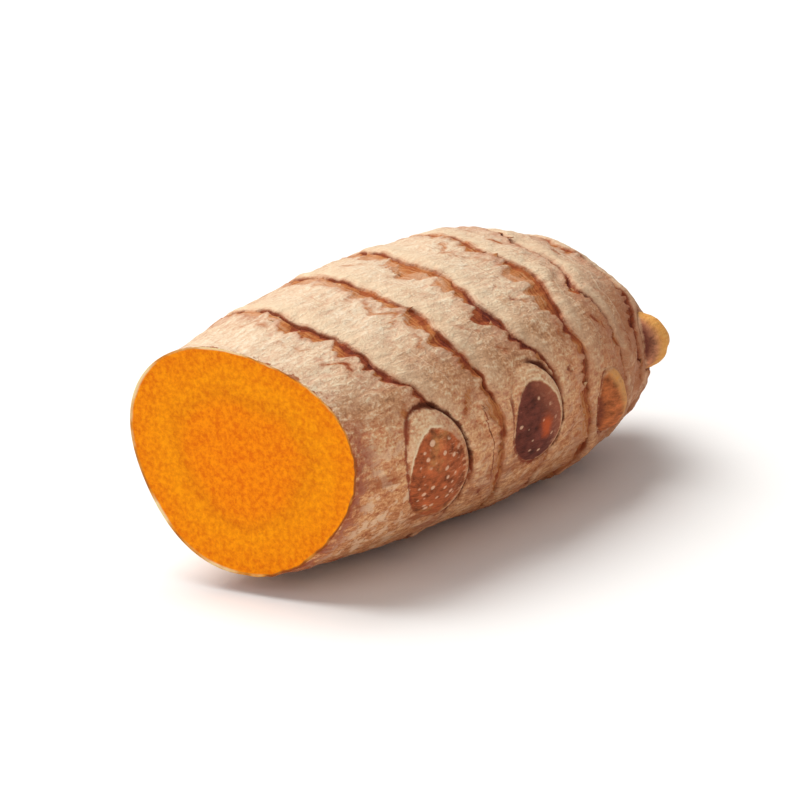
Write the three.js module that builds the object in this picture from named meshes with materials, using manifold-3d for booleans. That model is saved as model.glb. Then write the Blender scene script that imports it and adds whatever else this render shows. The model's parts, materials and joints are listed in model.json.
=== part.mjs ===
// A fresh turmeric root: one finger, cut across at its thick end and lying on its side.
// It grew as one piece, so it is one solid: a bent, tapering body with growth rings that run
// slantwise round it, a bud beside each ring, in turn on the front and on the back, and a bud at
// the tip.
// Millimetres, +Z up. The cut face looks along -X and the tip points along +X. A turn is an angle
// round the body in degrees: 0 is the back (+Y), 90 the top, 180 the front and 270 the underside.
// The root lies on a small flat spot at z = 0. The origin is there, under its bounding box's middle.
import * as THREE from "three";
import { mergeVertices } from "three/addons/utils/BufferGeometryUtils.js";
import Module from "manifold-3d";

// The body's length, thickness and bend.
const BODY_LENGTH = 51.4; // from the middle of the cut face to the end of the flesh
const CUT_RADIUS = 9.6;
const BELLY_RADIUS = 11.45;
const BELLY_AT = 0.44; // share of the length where the body is fullest and starts to round off
const NOSE_FULLNESS = 2.9; // how long the nose stays thick before it closes
const NOSE_BLUNTNESS = 2.3; // how blunt the nose ends
const BEND_SIDE = [2.2, -0.4]; // sideways drift at the tip: its square and cube parts
const BEND_UP = [1.5, -5.2]; // the same upwards: a slight arch, then a drooping tip
const OVAL = 0.035; // the section is a little oval, and leans towards the top back
const CORNERS = 0.047; // and softly three-cornered
const CORNER_TURN = 40; // where its first corner is
const SWELL = 0.15; // how far each stretch between two rings swells

// The cut runs a little askew: its front edge lies further along the body.
const CUT_SLANT = -0.255;

// Where each growth ring crosses the back, top, front and underside, measured from the cut.
const RINGS = [
  { back: 11.6, top: 5.6, front: 12.8, under: 19.4 },
  { back: 19.4, top: 14.0, front: 19.3, under: 25.8 },
  { back: 26.4, top: 21.1, front: 27.6, under: 32.0 },
  { back: 33.0, top: 29.4, front: 32.2, under: 36.4 },
  { back: 38.8, top: 36.2, front: 39.0, under: 41.4 },
  { back: 43.4, top: 41.4, front: 42.8, under: 44.8 },
  { back: 46.9, top: 45.9, front: 46.5, under: 47.6 },
];
const RING_WANDER = 0.2; // how far a ring strays from its even course
const CREVICE_DEPTH = 0.38;
const CREVICE_WIDTH = 0.3;
const LIP_HEIGHT = 0.34; // the tip side of a ring stands up as a lip
const LIP_LENGTH = 1.5; // and fades over this length

// The side buds: dormant, flattened ovals in a moat, in turn on the front and on the back. Each
// leans, in degrees, as its ring does. The ring passes it on the tip side, so it makes a detour.
const SIDE_BUDS = [
  { ring: 0, at: 12.6, turn: 193, width: 7.0, length: 10.4, lean: 20, rise: 0.7, detour: 2.3 },
  { ring: 1, at: 16.9, turn: 8, width: 6.2, length: 9.2, lean: -16, rise: 0.9, detour: 1.0 },
  { ring: 2, at: 25.3, turn: 186, width: 6.6, length: 8.9, lean: 13, rise: 0.8, detour: 1.0 },
  { ring: 3, at: 30.7, turn: 12, width: 5.2, length: 8.0, lean: -12, rise: 1.1, detour: 0.9 },
  { ring: 4, at: 37.5, turn: 193, width: 4.3, length: 7.2, lean: 18, rise: 1.2, detour: 0.5 },
  { ring: 5, at: 41.6, turn: 8, width: 3.8, length: 5.8, lean: -8, rise: 1.5, detour: 0.4 },
  { ring: 6, at: 45.6, turn: 168, width: 4.2, length: 5.6, lean: 0, rise: 2.2, detour: 1.6 },
];
const DETOUR_SPREAD = 24; // degrees to each side of the bud
const DOME_BLUNTNESS = 0.85; // 0.5 for a half ball, 1 for a softer hump
const MOAT_DEPTH = 0.32;
const MOAT_WIDTH = 0.2; // as a share of the bud's half width

// The bud at the tip.
const TIP_BUD = { radius: 3.1, rise: 2.1 };
const TIP_MOAT = { radius: 3.5, depth: 0.35, width: 0.6 };

// How the root lies: turned a little nose up, and flattened where its weight rests.
const PITCH = 0.9; // degrees
const FLAT_DEPTH = 0.4;
const SLAB_SIZE = 150; // larger than the root, for the slab that cuts the flat spot

// The mesh: sides round the body, and rows along it that follow the rings.
const SIDES = 84;
const AFTER_RING = [0, 0.4, 1.5]; // rows this far past a ring: its crevice, its lip, the lip's foot
const BETWEEN = [0.38, 0.56, 0.74]; // rows at these shares of the way to the next ring
const BEFORE_RING = [0.45]; // a row this far before the next ring
const FULL_GAP = 4; // rings closer than this get their rows moved up together
const NOSE_RADII = [6.4, 5.4, 4.6, 4.0, 3.5, 3.0, 2.5, 1.9, 1.2, 0.6];

const SKIN_COLOUR = 0xc9a585;
const RING_COLOUR = 0x8a4a2c;
const FLESH_COLOUR = 0xf68a0c;

const radians = THREE.MathUtils.degToRad;
const hump = (distance, width) => Math.exp(-((distance / width) ** 2));
const domeShape = (reach) => Math.max(1 - reach ** 2, 0) ** DOME_BLUNTNESS;

// The signed difference between two turns, from -180 to 180 degrees.
function turnBetween(a, b) {
  return THREE.MathUtils.euclideanModulo(a - b + 180, 360) - 180;
}

// The body's plain radius at a distance from the cut, before its section's shape and relief.
function plainRadius(along) {
  const share = THREE.MathUtils.clamp(along / BODY_LENGTH, 0, 1);
  const widening = Math.min(share / BELLY_AT, 1);
  const full = CUT_RADIUS + (BELLY_RADIUS - CUT_RADIUS) * widening * (2 - widening);
  const nose = Math.max((share - BELLY_AT) / (1 - BELLY_AT), 0);
  return full * (1 - nose ** NOSE_FULLNESS) ** (1 / NOSE_BLUNTNESS);
}

// The distance from the cut at which the nose has narrowed to a radius.
function alongAtRadius(radius) {
  const nose = (1 - (radius / BELLY_RADIUS) ** NOSE_BLUNTNESS) ** (1 / NOSE_FULLNESS);
  return BODY_LENGTH * (BELLY_AT + (1 - BELLY_AT) * nose);
}

function sectionShape(turn) {
  const oval = OVAL * Math.sin(2 * radians(turn));
  return 1 + oval + CORNERS * Math.cos(3 * radians(turn - CORNER_TURN));
}

// The middle of the body at a distance from the cut.
function middleAt(along) {
  const share = THREE.MathUtils.clamp(along / BODY_LENGTH, 0, 1);
  const drift = ([square, cube]) => square * share ** 2 + cube * share ** 3;
  return { side: drift(BEND_SIDE), up: drift(BEND_UP) };
}

// A ring's even course through its four crossings, without its detour.
function evenCourse({ back, top, front, under }, turn) {
  const a = radians(turn);
  const mean = (back + top + front + under) / 4;
  const slant = ((back - front) / 2) * Math.cos(a) + ((top - under) / 2) * Math.sin(a);
  return mean + slant + ((back + front - top - under) / 4) * Math.cos(2 * a);
}

// Where a ring runs at a turn: its even course, its wander, and its detour round its bud.
function ringAt(number, turn) {
  const a = radians(turn);
  const wander = Math.sin(3 * a + 1.7 * number) + 0.7 * Math.sin(5 * a + 2.9 * number);
  const detours = SIDE_BUDS.filter((bud) => bud.ring === number).map(
    (bud) => bud.detour * hump(turnBetween(turn, bud.turn), DETOUR_SPREAD),
  );
  const detour = detours.reduce((sum, each) => sum + each, 0);
  return evenCourse(RINGS[number], turn) + RING_WANDER * wander + detour;
}

// The relief of the rings at a place: a crevice on each ring, and a lip on its tip side.
function ringRelief(along, courses) {
  return courses.reduce((sum, course) => {
    const past = along - course;
    const crevice = CREVICE_DEPTH * hump(past, CREVICE_WIDTH);
    const lip = past > 0 ? LIP_HEIGHT * (1 - hump(past, CREVICE_WIDTH)) * hump(past, LIP_LENGTH) : 0;
    return sum + lip - crevice;
  }, 0);
}

// How far the stretch between the two rings round a place swells there.
function swell(along, courses) {
  const next = courses.findIndex((course) => course > along);
  if (next < 1) {
    return 0;
  }
  const share = (along - courses[next - 1]) / (courses[next] - courses[next - 1]);
  return SWELL * Math.sin(Math.PI * share);
}

// A point on the plain body, with its section's shape but no relief.
function bodyPoint(along, turn) {
  const radius = plainRadius(along) * sectionShape(turn);
  const middle = middleAt(along);
  const y = middle.side + radius * Math.cos(radians(turn));
  const z = middle.up + radius * Math.sin(radians(turn));
  return new THREE.Vector3(along, y, z);
}

// The way out of the plain body, square to its surface.
function outward(along, turn) {
  const here = bodyPoint(along, turn);
  const onward = here.clone().sub(bodyPoint(along - 1e-4, turn));
  const round = bodyPoint(along, turn + 1e-3).sub(here);
  return onward.cross(round).negate().normalize();
}

// Each side bud's middle on the body, and the ways across it, along it and out of it.
const budPlaces = SIDE_BUDS.map((bud) => {
  const middle = bodyPoint(bud.at, bud.turn);
  const out = outward(bud.at, bud.turn);
  const across = new THREE.Vector3(1, 0, 0).projectOnPlane(out).normalize();
  across.applyAxisAngle(out, radians(bud.lean));
  return { ...bud, middle, out, across, lengthwise: out.clone().cross(across) };
});

// How far a point on the body is from a side bud's middle: 1 is on the bud's edge.
function budReach(bud, point) {
  const offset = point.clone().sub(bud.middle);
  if (offset.dot(bud.out) < -CUT_RADIUS / 2) {
    return Infinity; // the far side of the body
  }
  const across = offset.dot(bud.across) / (bud.width / 2);
  const lengthwise = offset.dot(bud.lengthwise) / (bud.length / 2);
  return Math.hypot(across, lengthwise);
}

// A side bud's own relief: a low dome inside a moat.
function budRelief(bud, reach) {
  return bud.rise * domeShape(reach) - MOAT_DEPTH * hump(reach - 1 - MOAT_WIDTH, MOAT_WIDTH);
}

// How far the tip's bud stands out at a distance from its own middle, and its moat.
function tipRelief(fromMiddle) {
  const moat = TIP_MOAT.depth * hump(fromMiddle - TIP_MOAT.radius, TIP_MOAT.width);
  return TIP_BUD.rise * domeShape(fromMiddle / TIP_BUD.radius) - moat;
}

// The point on the root's surface at a distance along it and a turn, with all its relief.
function surfacePoint(along, turn, courses) {
  const point = bodyPoint(along, turn);
  const plain = plainRadius(along);
  const reaches = budPlaces.map((bud) => budReach(bud, point));
  const buds = budPlaces.reduce((sum, bud, i) => sum + budRelief(bud, reaches[i]), 0);
  const fade = Math.sqrt(plain / BELLY_RADIUS); // the rings grow finer towards the tip
  const onBud = reaches.some((reach) => reach < 1);
  const rings = onBud ? 0 : fade * (ringRelief(along, courses) + swell(along, courses));
  return point.addScaledVector(outward(along, turn), rings + buds + tipRelief(plain));
}

// The cut's distance along the body at a turn, found by steps, so that its edge lies in one plane.
function cutAt(turn) {
  let along = 0;
  for (let step = 0; step < 20; step++) {
    along = CUT_SLANT * bodyPoint(along, turn).y;
  }
  return along;
}

// The distances along the body of every row's point at a turn, from the cut to the nose.
function rowsAt(turn, courses) {
  const edges = [cutAt(turn), ...courses];
  const rows = [];
  edges.slice(0, -1).forEach((start, number) => {
    const gap = edges[number + 1] - start;
    const squeeze = Math.min(gap / FULL_GAP, 1);
    rows.push(...AFTER_RING.map((past) => start + past * squeeze));
    rows.push(...BETWEEN.map((share) => start + gap * share));
    rows.push(...BEFORE_RING.map((short) => start + gap - short * squeeze));
  });
  const last = edges.at(-1);
  rows.push(...AFTER_RING.slice(0, 2).map((past) => last + past));
  rows.push(...NOSE_RADII.map(alongAtRadius));
  return rows;
}

// The root's closed surface: rows of points joined by triangles, a flat cut face and a tip point.
function rootGeometry() {
  const columns = Array.from({ length: SIDES }, (_, side) => {
    const turn = (360 * side) / SIDES;
    const courses = RINGS.map((_ring, number) => ringAt(number, turn));
    return rowsAt(turn, courses).map((along) => surfacePoint(along, turn, courses));
  });
  const rows = columns[0].length;
  const points = columns.flat();
  const cutMiddle = points.push(new THREE.Vector3(0, 0, 0)) - 1;
  const nose = middleAt(BODY_LENGTH);
  const tip = new THREE.Vector3(BODY_LENGTH + TIP_BUD.rise, nose.side, nose.up);
  const tipPoint = points.push(tip) - 1;
  const faces = [];
  for (let side = 0; side < SIDES; side++) {
    const here = side * rows;
    const next = ((side + 1) % SIDES) * rows;
    faces.push(cutMiddle, next, here);
    faces.push(tipPoint, here + rows - 1, next + rows - 1);
    for (let row = 0; row < rows - 1; row++) {
      faces.push(here + row, next + row, next + row + 1);
      faces.push(here + row, next + row + 1, here + row + 1);
    }
  }
  const geometry = new THREE.BufferGeometry().setFromPoints(points);
  return geometry.setIndex(faces).rotateY(-radians(PITCH));
}

const wasm = await Module();
wasm.setup();

function solidFrom(geometry) {
  const bare = new THREE.BufferGeometry();
  bare.setAttribute("position", geometry.getAttribute("position"));
  bare.setIndex(geometry.index);
  const merged = mergeVertices(bare, 1e-4);
  const vertProperties = new Float32Array(merged.getAttribute("position").array);
  const triVerts = new Uint32Array(merged.index.array);
  return new wasm.Manifold(new wasm.Mesh({ numProp: 3, vertProperties, triVerts }));
}

// Cuts the flat spot that the root lies on, and sets the origin under the middle of its box.
function layDown(geometry) {
  geometry.computeBoundingBox();
  const floor = geometry.boundingBox.min.z + FLAT_DEPTH;
  const slab = new THREE.BoxGeometry(SLAB_SIZE, SLAB_SIZE, SLAB_SIZE);
  slab.translate(0, 0, floor - SLAB_SIZE / 2);
  const mesh = solidFrom(geometry).subtract(solidFrom(slab)).getMesh();
  const laid = new THREE.BufferGeometry();
  laid.setAttribute("position", new THREE.BufferAttribute(mesh.vertProperties, mesh.numProp));
  laid.setIndex(new THREE.BufferAttribute(mesh.triVerts, 1));
  laid.computeBoundingBox();
  const middle = laid.boundingBox.getCenter(new THREE.Vector3());
  laid.translate(-middle.x, -middle.y, -floor);
  return laid;
}

// One colour for each face: flesh on the cut, brown on the rings' steps, and skin elsewhere.
function paint(geometry) {
  const loose = geometry.toNonIndexed();
  loose.computeVertexNormals();
  const normals = loose.getAttribute("normal");
  const cut = new THREE.Vector3(-1, CUT_SLANT, 0).normalize();
  cut.applyAxisAngle(new THREE.Vector3(0, 1, 0), -radians(PITCH));
  const colours = new Float32Array(normals.count * 3);
  for (let i = 0; i < normals.count; i++) {
    const facing = cut.dot(new THREE.Vector3().fromBufferAttribute(normals, i));
    const skin = facing > 0.35 ? RING_COLOUR : SKIN_COLOUR;
    const hex = facing > 0.999 ? FLESH_COLOUR : skin;
    new THREE.Color(hex).toArray(colours, i * 3);
  }
  return loose.setAttribute("color", new THREE.BufferAttribute(colours, 3));
}

function turmericRoot() {
  const material = new THREE.MeshStandardMaterial({
    vertexColors: true,
    roughness: 0.85,
    metalness: 0,
  });
  const root = new THREE.Mesh(paint(layDown(rootGeometry())), material);
  root.name = "turmeric_root";
  return root;
}

const group = new THREE.Group();
group.add(turmericRoot());

export default group;
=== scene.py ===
# %% [markdown]
# # A fresh turmeric root
# The object is one finger of a turmeric plant, as long as a thumb, cut across at its thick end. It
# grew underground as one piece: each ring on it is the scar of a papery scale that has rotted and
# torn away, and each oval beside a ring is a dormant bud. Nothing on it is straight, flat or even,
# apart from the cut. So the lesson is about relief that follows a grown shape, at three scales: the
# body, its rings and buds, and the grain of the skin.

# %% Load the frame
import json
import math

import bpy
import numpy as np
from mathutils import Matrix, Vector, noise

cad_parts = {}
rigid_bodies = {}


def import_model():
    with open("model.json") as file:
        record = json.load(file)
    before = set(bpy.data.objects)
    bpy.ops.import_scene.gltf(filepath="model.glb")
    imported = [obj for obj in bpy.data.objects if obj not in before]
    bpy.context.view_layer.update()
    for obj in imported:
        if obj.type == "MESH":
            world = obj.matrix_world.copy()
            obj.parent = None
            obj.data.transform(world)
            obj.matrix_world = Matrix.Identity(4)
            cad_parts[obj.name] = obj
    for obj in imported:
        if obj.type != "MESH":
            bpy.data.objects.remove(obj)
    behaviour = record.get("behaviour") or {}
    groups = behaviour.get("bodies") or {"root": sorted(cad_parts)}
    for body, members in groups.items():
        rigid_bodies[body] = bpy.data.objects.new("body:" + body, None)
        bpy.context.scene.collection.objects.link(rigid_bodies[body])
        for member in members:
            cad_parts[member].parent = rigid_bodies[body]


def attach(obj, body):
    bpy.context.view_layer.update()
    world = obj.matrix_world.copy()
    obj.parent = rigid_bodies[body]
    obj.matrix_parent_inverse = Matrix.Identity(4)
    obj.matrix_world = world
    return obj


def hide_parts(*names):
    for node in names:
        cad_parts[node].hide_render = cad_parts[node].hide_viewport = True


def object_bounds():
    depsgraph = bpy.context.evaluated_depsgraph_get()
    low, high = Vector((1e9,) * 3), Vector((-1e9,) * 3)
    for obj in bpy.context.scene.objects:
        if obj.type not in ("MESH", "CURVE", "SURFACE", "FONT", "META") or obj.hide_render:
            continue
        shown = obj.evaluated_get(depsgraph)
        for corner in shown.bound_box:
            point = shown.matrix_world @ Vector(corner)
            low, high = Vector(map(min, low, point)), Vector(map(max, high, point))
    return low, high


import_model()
cad_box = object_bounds()
MM = 0.001  # Blender works in metres, and this lesson measures the root in millimetres
print("CAD box, mm:", [[round(v / MM, 2) for v in corner] for corner in cad_box])

# %% [markdown]
# ## The plain body
# Before any detail, the body is a bent, tapering, slightly three-cornered log. It could be a
# subdivided cage pulled about by hand. Here it is a formula of two values, how far along the root a
# point lies and at which turn round it, because the rings and buds are then placed by the same two
# values, as a botanist would note them. The numbers are those of the solid that this skin covers.
# A turn of 0 is the back, 90 degrees the top, 180 the front and 270 the underside.

# %% The body's dimensions, in millimetres
BODY_LENGTH = 51.4
CUT_RADIUS = 9.6
BELLY_RADIUS = 11.45
BELLY_AT = 0.44
NOSE_FULLNESS = 2.9
NOSE_BLUNTNESS = 2.3
BEND_SIDE = (2.2, -0.4)
BEND_UP = (1.5, -5.2)
OVAL = 0.035
CORNERS = 0.047
CORNER_TURN = math.radians(40)
CUT_SLANT = -0.255
PITCH = math.radians(0.9)
CUT_MIDDLE = (-25.54, -0.53, 11.72)  # where the middle of the cut face lies in the frame


# %% Points on the plain body
def plain_radius(along):
    """The body's radius at a distance from the cut."""
    share = np.clip(along / BODY_LENGTH, 0, 1)
    widening = np.minimum(share / BELLY_AT, 1)
    full = CUT_RADIUS + (BELLY_RADIUS - CUT_RADIUS) * widening * (2 - widening)
    nose = np.clip((share - BELLY_AT) / (1 - BELLY_AT), 0, 1)
    return full * (1 - nose**NOSE_FULLNESS) ** (1 / NOSE_BLUNTNESS)


def along_at_radius(radius):
    """The distance from the cut at which the nose has narrowed to a radius."""
    nose = (1 - (radius / BELLY_RADIUS) ** NOSE_BLUNTNESS) ** (1 / NOSE_FULLNESS)
    return BODY_LENGTH * (BELLY_AT + (1 - BELLY_AT) * nose)


def body_point(along, turn):
    """A point on the plain body. The last axis of the result holds x, y and z."""
    share = np.clip(along / BODY_LENGTH, 0, 1)
    shape = 1 + OVAL * np.sin(2 * turn) + CORNERS * np.cos(3 * (turn - CORNER_TURN))
    radius = plain_radius(along) * shape
    side = BEND_SIDE[0] * share**2 + BEND_SIDE[1] * share**3
    up = BEND_UP[0] * share**2 + BEND_UP[1] * share**3
    return np.stack([along, side + radius * np.cos(turn), up + radius * np.sin(turn)], axis=-1)


def outward(along, turn):
    """The way out of the plain body, square to its surface."""
    along = np.minimum(along, along_at_radius(0.05))
    here = body_point(along, turn)
    onward = here - body_point(along - 1e-4, turn)
    round_about = body_point(along, turn + 1e-5) - here
    way = np.cross(round_about, onward)
    return way / np.linalg.norm(way, axis=-1, keepdims=True)


print("Thickest radius:", BELLY_RADIUS, "mm, at", round(BELLY_AT * BODY_LENGTH, 1), "mm from the cut")

# %% [markdown]
# ## Rings and buds
# A ring is where a scale leaf once sat. It runs slantwise round the body, because the finger grew
# with a lean, and it strays a little on its way. A ring is given by where it crosses the back, the
# top, the front and the underside. Each ring has one bud on its cut side, in turn on the front and
# on the back, and makes a detour round it. These tables are the plan of the plant.

# %% The plan of rings and buds
RINGS = [
    dict(back=11.6, top=5.6, front=12.8, under=19.4),
    dict(back=19.4, top=14.0, front=19.3, under=25.8),
    dict(back=26.4, top=21.1, front=27.6, under=32.0),
    dict(back=33.0, top=29.4, front=32.2, under=36.4),
    dict(back=38.8, top=36.2, front=39.0, under=41.4),
    dict(back=43.4, top=41.4, front=42.8, under=44.8),
    dict(back=46.9, top=45.9, front=46.5, under=47.6),
]
RING_WANDER = 0.2
SIDE_BUDS = [
    dict(ring=0, at=12.5, turn=190.5, width=6.7, length=12.8, lean=27, rise=0.7, detour=2.3),
    dict(ring=1, at=16.9, turn=8, width=6.2, length=9.2, lean=-16, rise=0.9, detour=1.0),
    dict(ring=2, at=25.1, turn=183.5, width=6.4, length=10.1, lean=25, rise=0.8, detour=1.0),
    dict(ring=3, at=30.7, turn=12, width=5.2, length=8.0, lean=-12, rise=1.1, detour=0.9),
    dict(ring=4, at=37.1, turn=192.5, width=4.2, length=7.3, lean=23, rise=1.2, detour=0.5),
    dict(ring=5, at=41.6, turn=8, width=3.8, length=5.8, lean=-8, rise=1.5, detour=0.4),
    dict(ring=6, at=45.7, turn=169, width=3.8, length=5.2, lean=0, rise=2.05, detour=1.6),
]
DETOUR_SPREAD = 24
# What each bud looks like: its bare scar's width and length as shares of the oval, how far the
# scar is shifted on it, its tone (0 red brown, 0.35 purple brown, 0.7 ochre, 1 gold), how pointed
# its mound is, how much higher that is on the tip's side, and two directions on the oval (0
# towards the tip, 90 up, 180 towards the cut): where the edge above the scar is palest, with a
# painted highlight there and on the hood, and where the groove round the oval is filled.
BUD_LOOKS = [
    dict(scar=(0.93, 0.78), shift=(-0.12, -0.09), tone=0.0, dome=0.7, tilt=0.15, lid=112, filled=228),
    dict(scar=(0.80, 0.78), shift=(0.0, 0.08), tone=0.15, dome=0.8, tilt=0.2, lid=270, filled=90),
    dict(scar=(0.86, 0.84), shift=(-0.15, -0.1), tone=0.35, dome=0.7, tilt=0.45, lid=42, filled=98),
    dict(scar=(0.84, 0.86), shift=(0.0, 0.04), tone=0.6, dome=0.9, tilt=0.3, lid=290, filled=270),
    dict(scar=(1.00, 0.98), shift=(-0.02, 0.0), tone=0.75, dome=0.9, tilt=0.3, lid=20, filled=60),
    dict(scar=(0.86, 0.90), shift=(0.0, 0.0), tone=0.7, dome=0.9, tilt=0.3, lid=340, filled=60),
    dict(scar=(0.98, 0.98), shift=(0.0, 0.0), tone=1.0, dome=0.95, tilt=0.25, lid=60, filled=60),
]


def hump(distance, width):
    """1 at no distance, falling smoothly to nothing over a few widths."""
    return np.exp(-((distance / width) ** 2))


def ease(value, low, high):
    """0 below low, 1 above high, and smooth between."""
    share = np.clip((value - low) / (high - low), 0, 1)
    return share * share * (3 - 2 * share)


def turn_between(a, b):
    """The signed difference between two turns, in radians."""
    return (a - b + np.pi) % (2 * np.pi) - np.pi


def mottle(points, size, seed, stretch=1.0):
    """Smooth random values from about -1 to 1, in patches of a size in mm, longer along the root."""
    scaled = points / (size * np.array([stretch, 1, 1])) + 17.3 * seed
    flat = [noise.noise(Vector(point)) for point in scaled.reshape(-1, 3).tolist()]
    return 2 * np.array(flat).reshape(points.shape[:-1])


def ring_at(number, turn):
    """How far along the body a ring runs at a turn."""
    back, top, front, under = (RINGS[number][place] for place in ("back", "top", "front", "under"))
    course = (back + top + front + under) / 4 + (back + front - top - under) / 4 * np.cos(2 * turn)
    course = course + (back - front) / 2 * np.cos(turn) + (top - under) / 2 * np.sin(turn)
    wander = np.sin(3 * turn + 1.7 * number) + 0.7 * np.sin(5 * turn + 2.9 * number)
    for bud in SIDE_BUDS:
        if bud["ring"] == number:
            away = np.degrees(turn_between(turn, math.radians(bud["turn"])))
            course = course + bud["detour"] * hump(away, DETOUR_SPREAD)
    return course + RING_WANDER * wander


print("Rings:", len(RINGS), " side buds:", len(SIDE_BUDS))

# %% [markdown]
# ## Notes on each ring
# No formula gives the jagged course of a torn scale. So notes are taken at turns round each
# ring, as with a tape round a real root, and the values between two notes are worked out. Turns
# that the photograph shows have a note every few degrees. The back and the underside are guessed
# and have few.

# %% Notes taken at turns round each ring
# Each note is a turn in degrees, how far the ring strays towards the tip there, how wide the bare
# strip before it is, both in mm, and how dark that strip is, from 0 to 1.
RING_NOTES = [
    [(0, 0.0, 0.3, 0.4), (30, 0.2, 0.5, 0.5), (60, 0.3, 0.6, 0.3), (70, 1.0, 1.1, 0.2),
     (78, 1.0, 0.8, 0.25), (86, 0.9, 0.9, 0.2), (95, 0.7, 1.2, 0.5), (102, 1.2, 1.6, 0.7),
     (108, 1.15, 1.2, 0.7), (114, 1.45, 0.9, 0.6), (120, 1.35, 1.5, 0.7), (128, 0.7, 1.1, 0.8),
     (134, 0.35, 1.2, 0.85), (138, 0.4, 1.5, 0.6), (142, 0.5, 1.1, 0.7), (147, 0.6, 0.9, 0.75),
     (155, 0.5, 0.7, 0.75), (175, 0.0, 0.3, 0.5), (205, 0.2, 0.4, 0.6), (216, 0.3, 0.4, 0.7),
     (223, -0.9, 0.4, 0.8), (230, -1.7, 0.4, 0.8), (238, -3.6, 0.5, 0.7), (250, -4.0, 0.6, 0.6),
     (275, -3.0, 0.7, 0.4), (310, -1.0, 0.8, 0.3)],
    [(0, 0.0, 0.3, 0.4), (30, 0.0, 0.8, 0.5), (60, 0.2, 1.4, 0.2), (74, 0.9, 1.8, 0.1),
     (81, 1.3, 1.8, 0.3), (89, 1.0, 0.9, 0.5), (96, 1.35, 1.5, 0.4), (103, 1.4, 1.2, 0.35),
     (112, 1.4, 1.0, 0.45), (119, 1.55, 1.6, 0.5), (125, 1.55, 2.1, 0.5), (130, 1.15, 1.7, 0.55),
     (135, 1.0, 1.3, 0.6), (142, 1.25, 1.5, 0.6), (150, 1.5, 1.0, 0.6), (155, 1.8, 1.1, 0.5),
     (164, 1.4, 0.9, 0.5), (173, 1.2, 1.1, 0.5), (180, 0.85, 1.0, 0.45), (186, 0.45, 0.8, 0.45),
     (197, 0.4, 1.0, 0.45), (207, -0.45, 1.0, 0.4), (215, -0.6, 1.2, 0.3), (240, 0.0, 0.5, 0.3),
     (280, 0.0, 0.9, 0.4)],
    [(0, 0.0, 0.6, 0.4), (30, 0.0, 0.4, 0.3), (55, 1.0, 1.4, 0.25), (74, 1.7, 1.9, 0.3),
     (82, 1.6, 2.1, 0.3), (87, 1.35, 1.8, 0.3), (94, 1.65, 2.4, 0.3), (102, 1.9, 2.3, 0.3),
     (109, 1.9, 2.2, 0.35), (114, 1.45, 2.2, 0.45), (120, 1.25, 2.3, 0.6), (126, 0.65, 1.9, 0.9),
     (133, 0.35, 2.0, 0.95), (138, 0.45, 1.5, 0.9), (144, -0.1, 0.6, 0.8), (148, 0.15, 1.0, 0.8),
     (154, 0.9, 0.8, 0.85), (162, 0.9, 0.5, 0.85), (170, 0.85, 0.6, 0.8), (178, 0.1, 0.45, 0.8),
     (186, -0.5, 0.5, 0.8), (196, -1.3, 0.6, 0.7), (210, -1.9, 0.8, 0.6), (220, -2.4, 0.9, 0.5),
     (245, -0.8, 0.6, 0.5), (290, 0.0, 1.0, 0.3)],
    [(0, 0.0, 0.3, 0.5), (25, 0.0, 0.4, 0.4), (55, 0.6, 0.9, 0.25), (75, 1.2, 1.5, 0.35),
     (82, 1.6, 1.7, 0.38), (90, 2.1, 1.7, 0.42), (97, 1.9, 1.2, 0.5), (105, 1.8, 0.9, 0.5),
     (112, 2.1, 1.3, 0.45), (118, 2.9, 2.4, 0.35), (124, 2.9, 2.7, 0.4), (130, 2.3, 2.6, 0.45),
     (138, 1.95, 2.1, 0.5), (143, 1.55, 1.4, 0.6), (149, 1.45, 0.8, 0.75), (156, 1.4, 1.2, 0.65),
     (162, 1.6, 1.3, 0.65), (170, 1.0, 1.1, 0.6), (180, 0.65, 1.1, 0.5), (198, 0.9, 1.6, 0.4),
     (215, 1.4, 1.6, 0.4), (240, 0.6, 0.8, 0.4), (300, 0.0, 0.7, 0.3)],
    [(0, 0.0, 0.4, 0.4), (50, 0.4, 0.3, 0.3), (80, 1.2, 0.4, 0.5), (90, 0.6, 0.4, 0.7),
     (97, 0.6, 0.6, 0.7), (104, 0.6, 0.6, 0.6), (110, 0.5, 0.35, 0.5), (114, 0.75, 0.4, 0.5),
     (120, 0.45, 0.35, 0.6), (127, 0.1, 0.5, 0.85), (132, -0.35, 0.6, 0.85), (135, -1.4, 0.8, 0.6),
     (138, -1.0, 1.0, 0.7), (142, -0.35, 0.6, 0.85), (148, -0.5, 0.3, 0.85), (153, -0.2, 0.5, 0.7),
     (165, 0.0, 0.5, 0.6), (210, 0.0, 0.5, 0.5), (270, 0.0, 0.6, 0.4)],
    [(0, 0.0, 0.3, 0.5), (50, 0.3, 0.5, 0.2), (84, 1.0, 0.7, 0.2), (92, 1.2, 0.8, 0.3),
     (100, 1.0, 0.8, 0.6), (108, 1.4, 0.9, 0.6), (116, 1.8, 0.8, 0.3), (124, 2.2, 1.0, 0.2),
     (132, 2.0, 0.9, 0.3), (138, 2.0, 1.0, 0.5), (142, 2.2, 1.2, 0.8), (148, 2.2, 1.3, 0.85),
     (155, 1.9, 1.3, 0.8), (161, 1.3, 1.1, 0.7), (170, 1.0, 0.9, 0.6), (190, 0.5, 0.6, 0.6),
     (230, 0.0, 0.4, 0.5), (300, 0.0, 0.5, 0.4)],
    [(0, 0.0, 0.3, 0.5), (60, 0.2, 0.3, 0.4), (90, 0.5, 0.35, 0.4), (140, 0.7, 0.3, 0.5),
     (165, 0.2, 0.3, 0.6), (200, 0.0, 0.3, 0.6), (300, 0.0, 0.3, 0.5)],
]


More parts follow.
